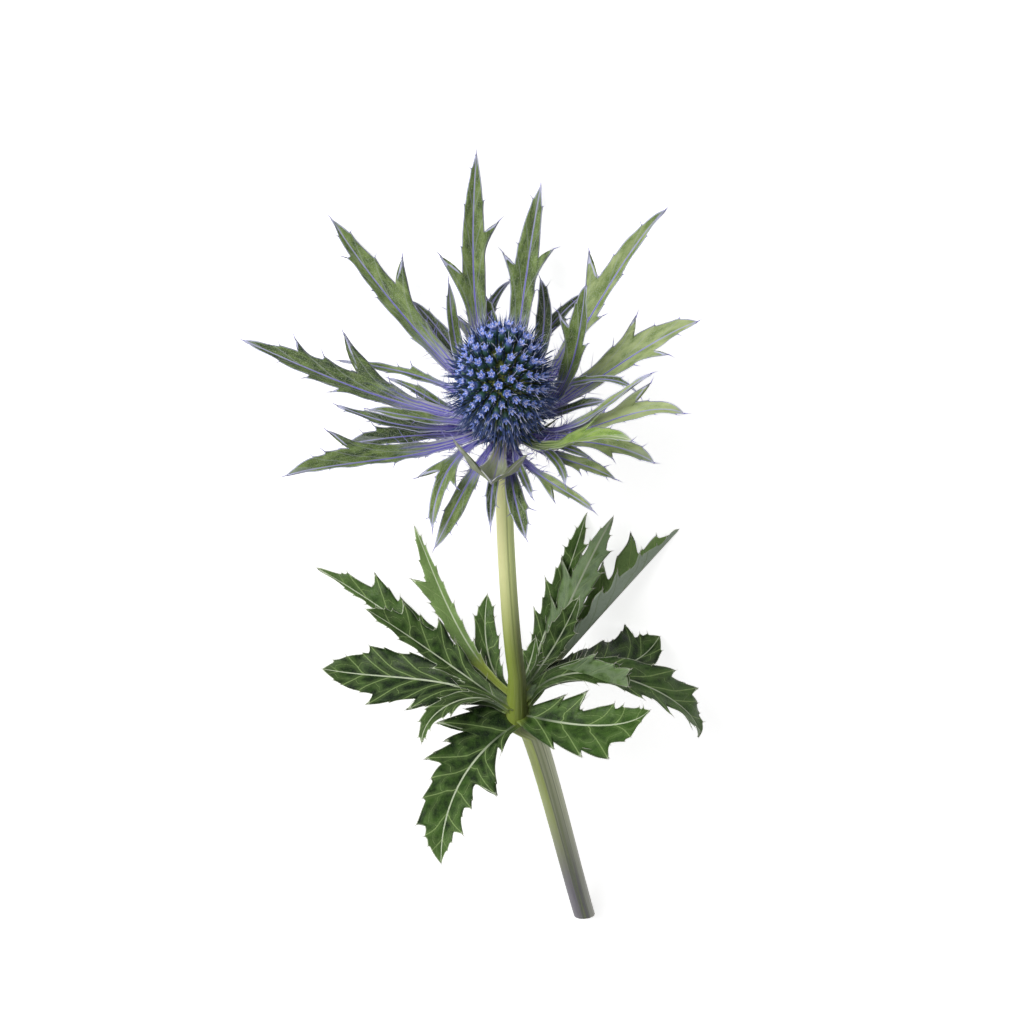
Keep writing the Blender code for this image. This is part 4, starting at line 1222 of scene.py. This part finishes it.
def make_camera():
    """Camera before the flower's face, looking down at it."""
    pitch = math.radians(CAMERA_PITCH)
    right = Vector((-1.0, 0.0, 0.0))
    up = Vector((0.0, -math.cos(pitch), -math.sin(pitch)))
    back = right.cross(up)
    place = Vector(HEAD) + right * CAMERA_SHIFT[0] + up * CAMERA_SHIFT[1] + back * CAMERA_DISTANCE
    camera = bpy.data.objects.new("camera", bpy.data.cameras.new("camera"))
    camera.data.lens = LENS
    camera.data.sensor_width = 36.0
    camera.data.clip_start = 0.01
    turn = Matrix((right, up, back)).transposed().to_4x4()
    camera.matrix_world = Matrix.Translation(place * MM) @ turn
    bpy.context.collection.objects.link(camera)
    bpy.context.scene.camera = camera


def make_lamp(name, offset, size, light):
    """Square soft lamp that points at the flower and gives it this much light."""
    lamp = bpy.data.lights.new(name, "AREA")
    lamp.size = size
    offset = Vector(offset)
    lamp.energy = light * math.pi**2 * offset.length_squared
    piece = bpy.data.objects.new(name, lamp)
    piece.location = Vector(LIT_SPOT) + offset
    piece.rotation_euler = offset.to_track_quat("Z", "Y").to_euler()
    bpy.context.collection.objects.link(piece)


def camera_mask(tree):
    """1 for what the camera sees directly, in gloss or through glass, and 0 for other light."""
    path = tree.nodes.new("ShaderNodeLightPath")
    total = path.outputs["Is Camera Ray"]
    for name in ("Is Glossy Ray", "Is Transmission Ray"):
        total = add_node(tree, "Math", {0: total, 1: path.outputs[name]}, use_clamp=True)
    return total


def make_floor():
    """Wide white floor that keeps the flower's shadow."""
    material = bpy.data.materials.new("floor_white")
    material.use_nodes = True
    tree = material.node_tree
    tree.nodes.remove(tree.nodes["Principled BSDF"])
    matt = add_node(tree, "BsdfDiffuse", {"Color": FLOOR_COLOUR})
    level = add_node(tree, "Math", {0: camera_mask(tree), 1: FLOOR_GLOW}, operation="MULTIPLY")
    glow = add_node(tree, "Emission", {"Strength": level})
    both = add_node(tree, "AddShader", {0: matt, 1: glow})
    plug(tree, tree.nodes["Material Output"].inputs["Surface"], both)
    mesh = bpy.data.meshes.new("floor")
    corners = [(x * FLOOR_REACH, y * FLOOR_REACH, 0.0) for x, y in ((-1, -1), (1, -1), (1, 1), (-1, 1))]
    mesh.from_pydata(corners, [], ((0, 1, 2, 3),))
    mesh.materials.append(material)
    floor = bpy.data.objects.new("floor", mesh)
    bpy.context.collection.objects.link(floor)


def make_world():
    """Even studio light, with white behind everything."""
    world = bpy.data.worlds.new("studio")
    world.use_nodes = True
    bpy.context.scene.world = world
    tree = world.node_tree
    tree.nodes.remove(tree.nodes["Background"])
    ambient = add_node(tree, "Background", {"Color": WHITE, "Strength": AMBIENT})
    white = add_node(tree, "Background", {"Color": WHITE})
    mix = add_node(tree, "MixShader", {0: camera_mask(tree), 1: ambient, 2: white})
    plug(tree, tree.nodes["World Output"].inputs["Surface"], mix)


# ---- the flower


def make_cone():
    """Core, florets, bracteoles and filaments."""
    make_core(core_paint())
    florets = Florets()
    make_florets(florets, {
        "cup": shaded("floret_cup", (0.24, 0.3, 0.07), (0.03, 0.08, 0.06), (0.06, 0.1, 0.32), 0.6, 1.0),
        "sepal": shaded("floret_sepal", (0.04, 0.08, 0.3), (0.155, 0.235, 0.66), (0.38, 0.46, 0.86)),
        "petal": shaded("floret_petal", (0.2, 0.25, 0.6), (0.5, 0.52, 0.82), (0.8, 0.76, 0.74)),
    })
    needle = shaded("bracteole", (0.16, 0.2, 0.05), (0.025, 0.05, 0.16), (0.55, 0.6, 0.86), 0.6, 1.0)
    make_bracteoles(florets, needle)
    make_filaments(florets, shaded("filament", (0.3, 0.34, 0.7), (0.55, 0.57, 0.86), (0.75, 0.72, 0.9)))


def make_ruff():
    """The bracts: upper face, lower face and spines. Two of them have faces of their own."""
    upper = bract_face(
        "bract_upper", dark=(0.01, 0.026, 0.005), light=(0.128, 0.195, 0.046), bright=(0.38, 0.45, 0.2),
        mauve=(0.38, 0.365, 0.49), vein=(0.46, 0.46, 0.66), midrib=(0.11, 0.09, 0.48),
        rim=(0.52, 0.53, 0.72),
    )
    lower = bract_face(
        "bract_lower", dark=(0.12, 0.16, 0.08), light=(0.23, 0.28, 0.15), bright=(0.3, 0.36, 0.18),
        mauve=(0.33, 0.32, 0.42), vein=(0.42, 0.42, 0.6), midrib=(0.24, 0.22, 0.56),
        rim=(0.42, 0.43, 0.6),
    )
    spine = shaded("bract_spine", (0.34, 0.35, 0.46), (0.22, 0.2, 0.52), (0.46, 0.42, 0.68))
    lime = bract_face(
        "bract_lime", dark=(0.1, 0.19, 0.02), light=(0.26, 0.37, 0.08), bright=(0.34, 0.46, 0.14),
        mauve=(0.3, 0.34, 0.2), vein=(0.5, 0.55, 0.36), midrib=(0.05, 0.09, 0.02), rim=(0.5, 0.52, 0.5),
    )
    pale = bract_face(
        "bract_pale", dark=(0.28, 0.32, 0.19), light=(0.48, 0.52, 0.34), bright=(0.56, 0.58, 0.42),
        mauve=(0.3, 0.29, 0.2), vein=(0.55, 0.55, 0.6), midrib=(0.3, 0.28, 0.5), rim=(0.62, 0.62, 0.66),
    )
    own = {"bract_14": (lime, lime), "bract_22": (pale, pale)}
    for number, blade in enumerate(BRACTS):
        faces = own.get(blade.name, (upper, lower))
        make_blade(blade, BRACT_STYLE, number, "bracts", (*faces, spine))


def make_whorl():
    """The leaves: upper face, lower face and spines."""
    paints = (
        leaf_face(
            "leaf_upper", dark=(0.002, 0.009, 0.002), light=(0.046, 0.1, 0.017), bright=(0.2, 0.31, 0.1),
            vein=(0.29, 0.41, 0.15), rim=(0.6, 0.67, 0.48), base_colour=(0.2, 0.25, 0.04),
        ),
        leaf_face(
            "leaf_lower", dark=(0.025, 0.06, 0.012), light=(0.16, 0.25, 0.09), bright=(0.4, 0.48, 0.38),
            vein=(0.26, 0.35, 0.17), rim=(0.42, 0.46, 0.34), base_colour=(0.2, 0.25, 0.06),
        ),
        shaded("leaf_spine", (0.3, 0.38, 0.16), (0.46, 0.46, 0.4), (0.6, 0.5, 0.45)),
    )
    for number, blade in enumerate(LEAVES):
        make_blade(blade, LEAF_STYLE, 50 + number, "leaves", paints)


def main():
    bpy.context.scene.view_settings.view_transform = "Standard"
    make_camera()
    make_world()
    make_floor()
    for name, (offset, size, light) in LAMPS.items():
        make_lamp(name, offset, size, light)
    make_stem([stem_paint(), pith_paint()])
    make_cone()
    make_ruff()
    make_whorl()


main()
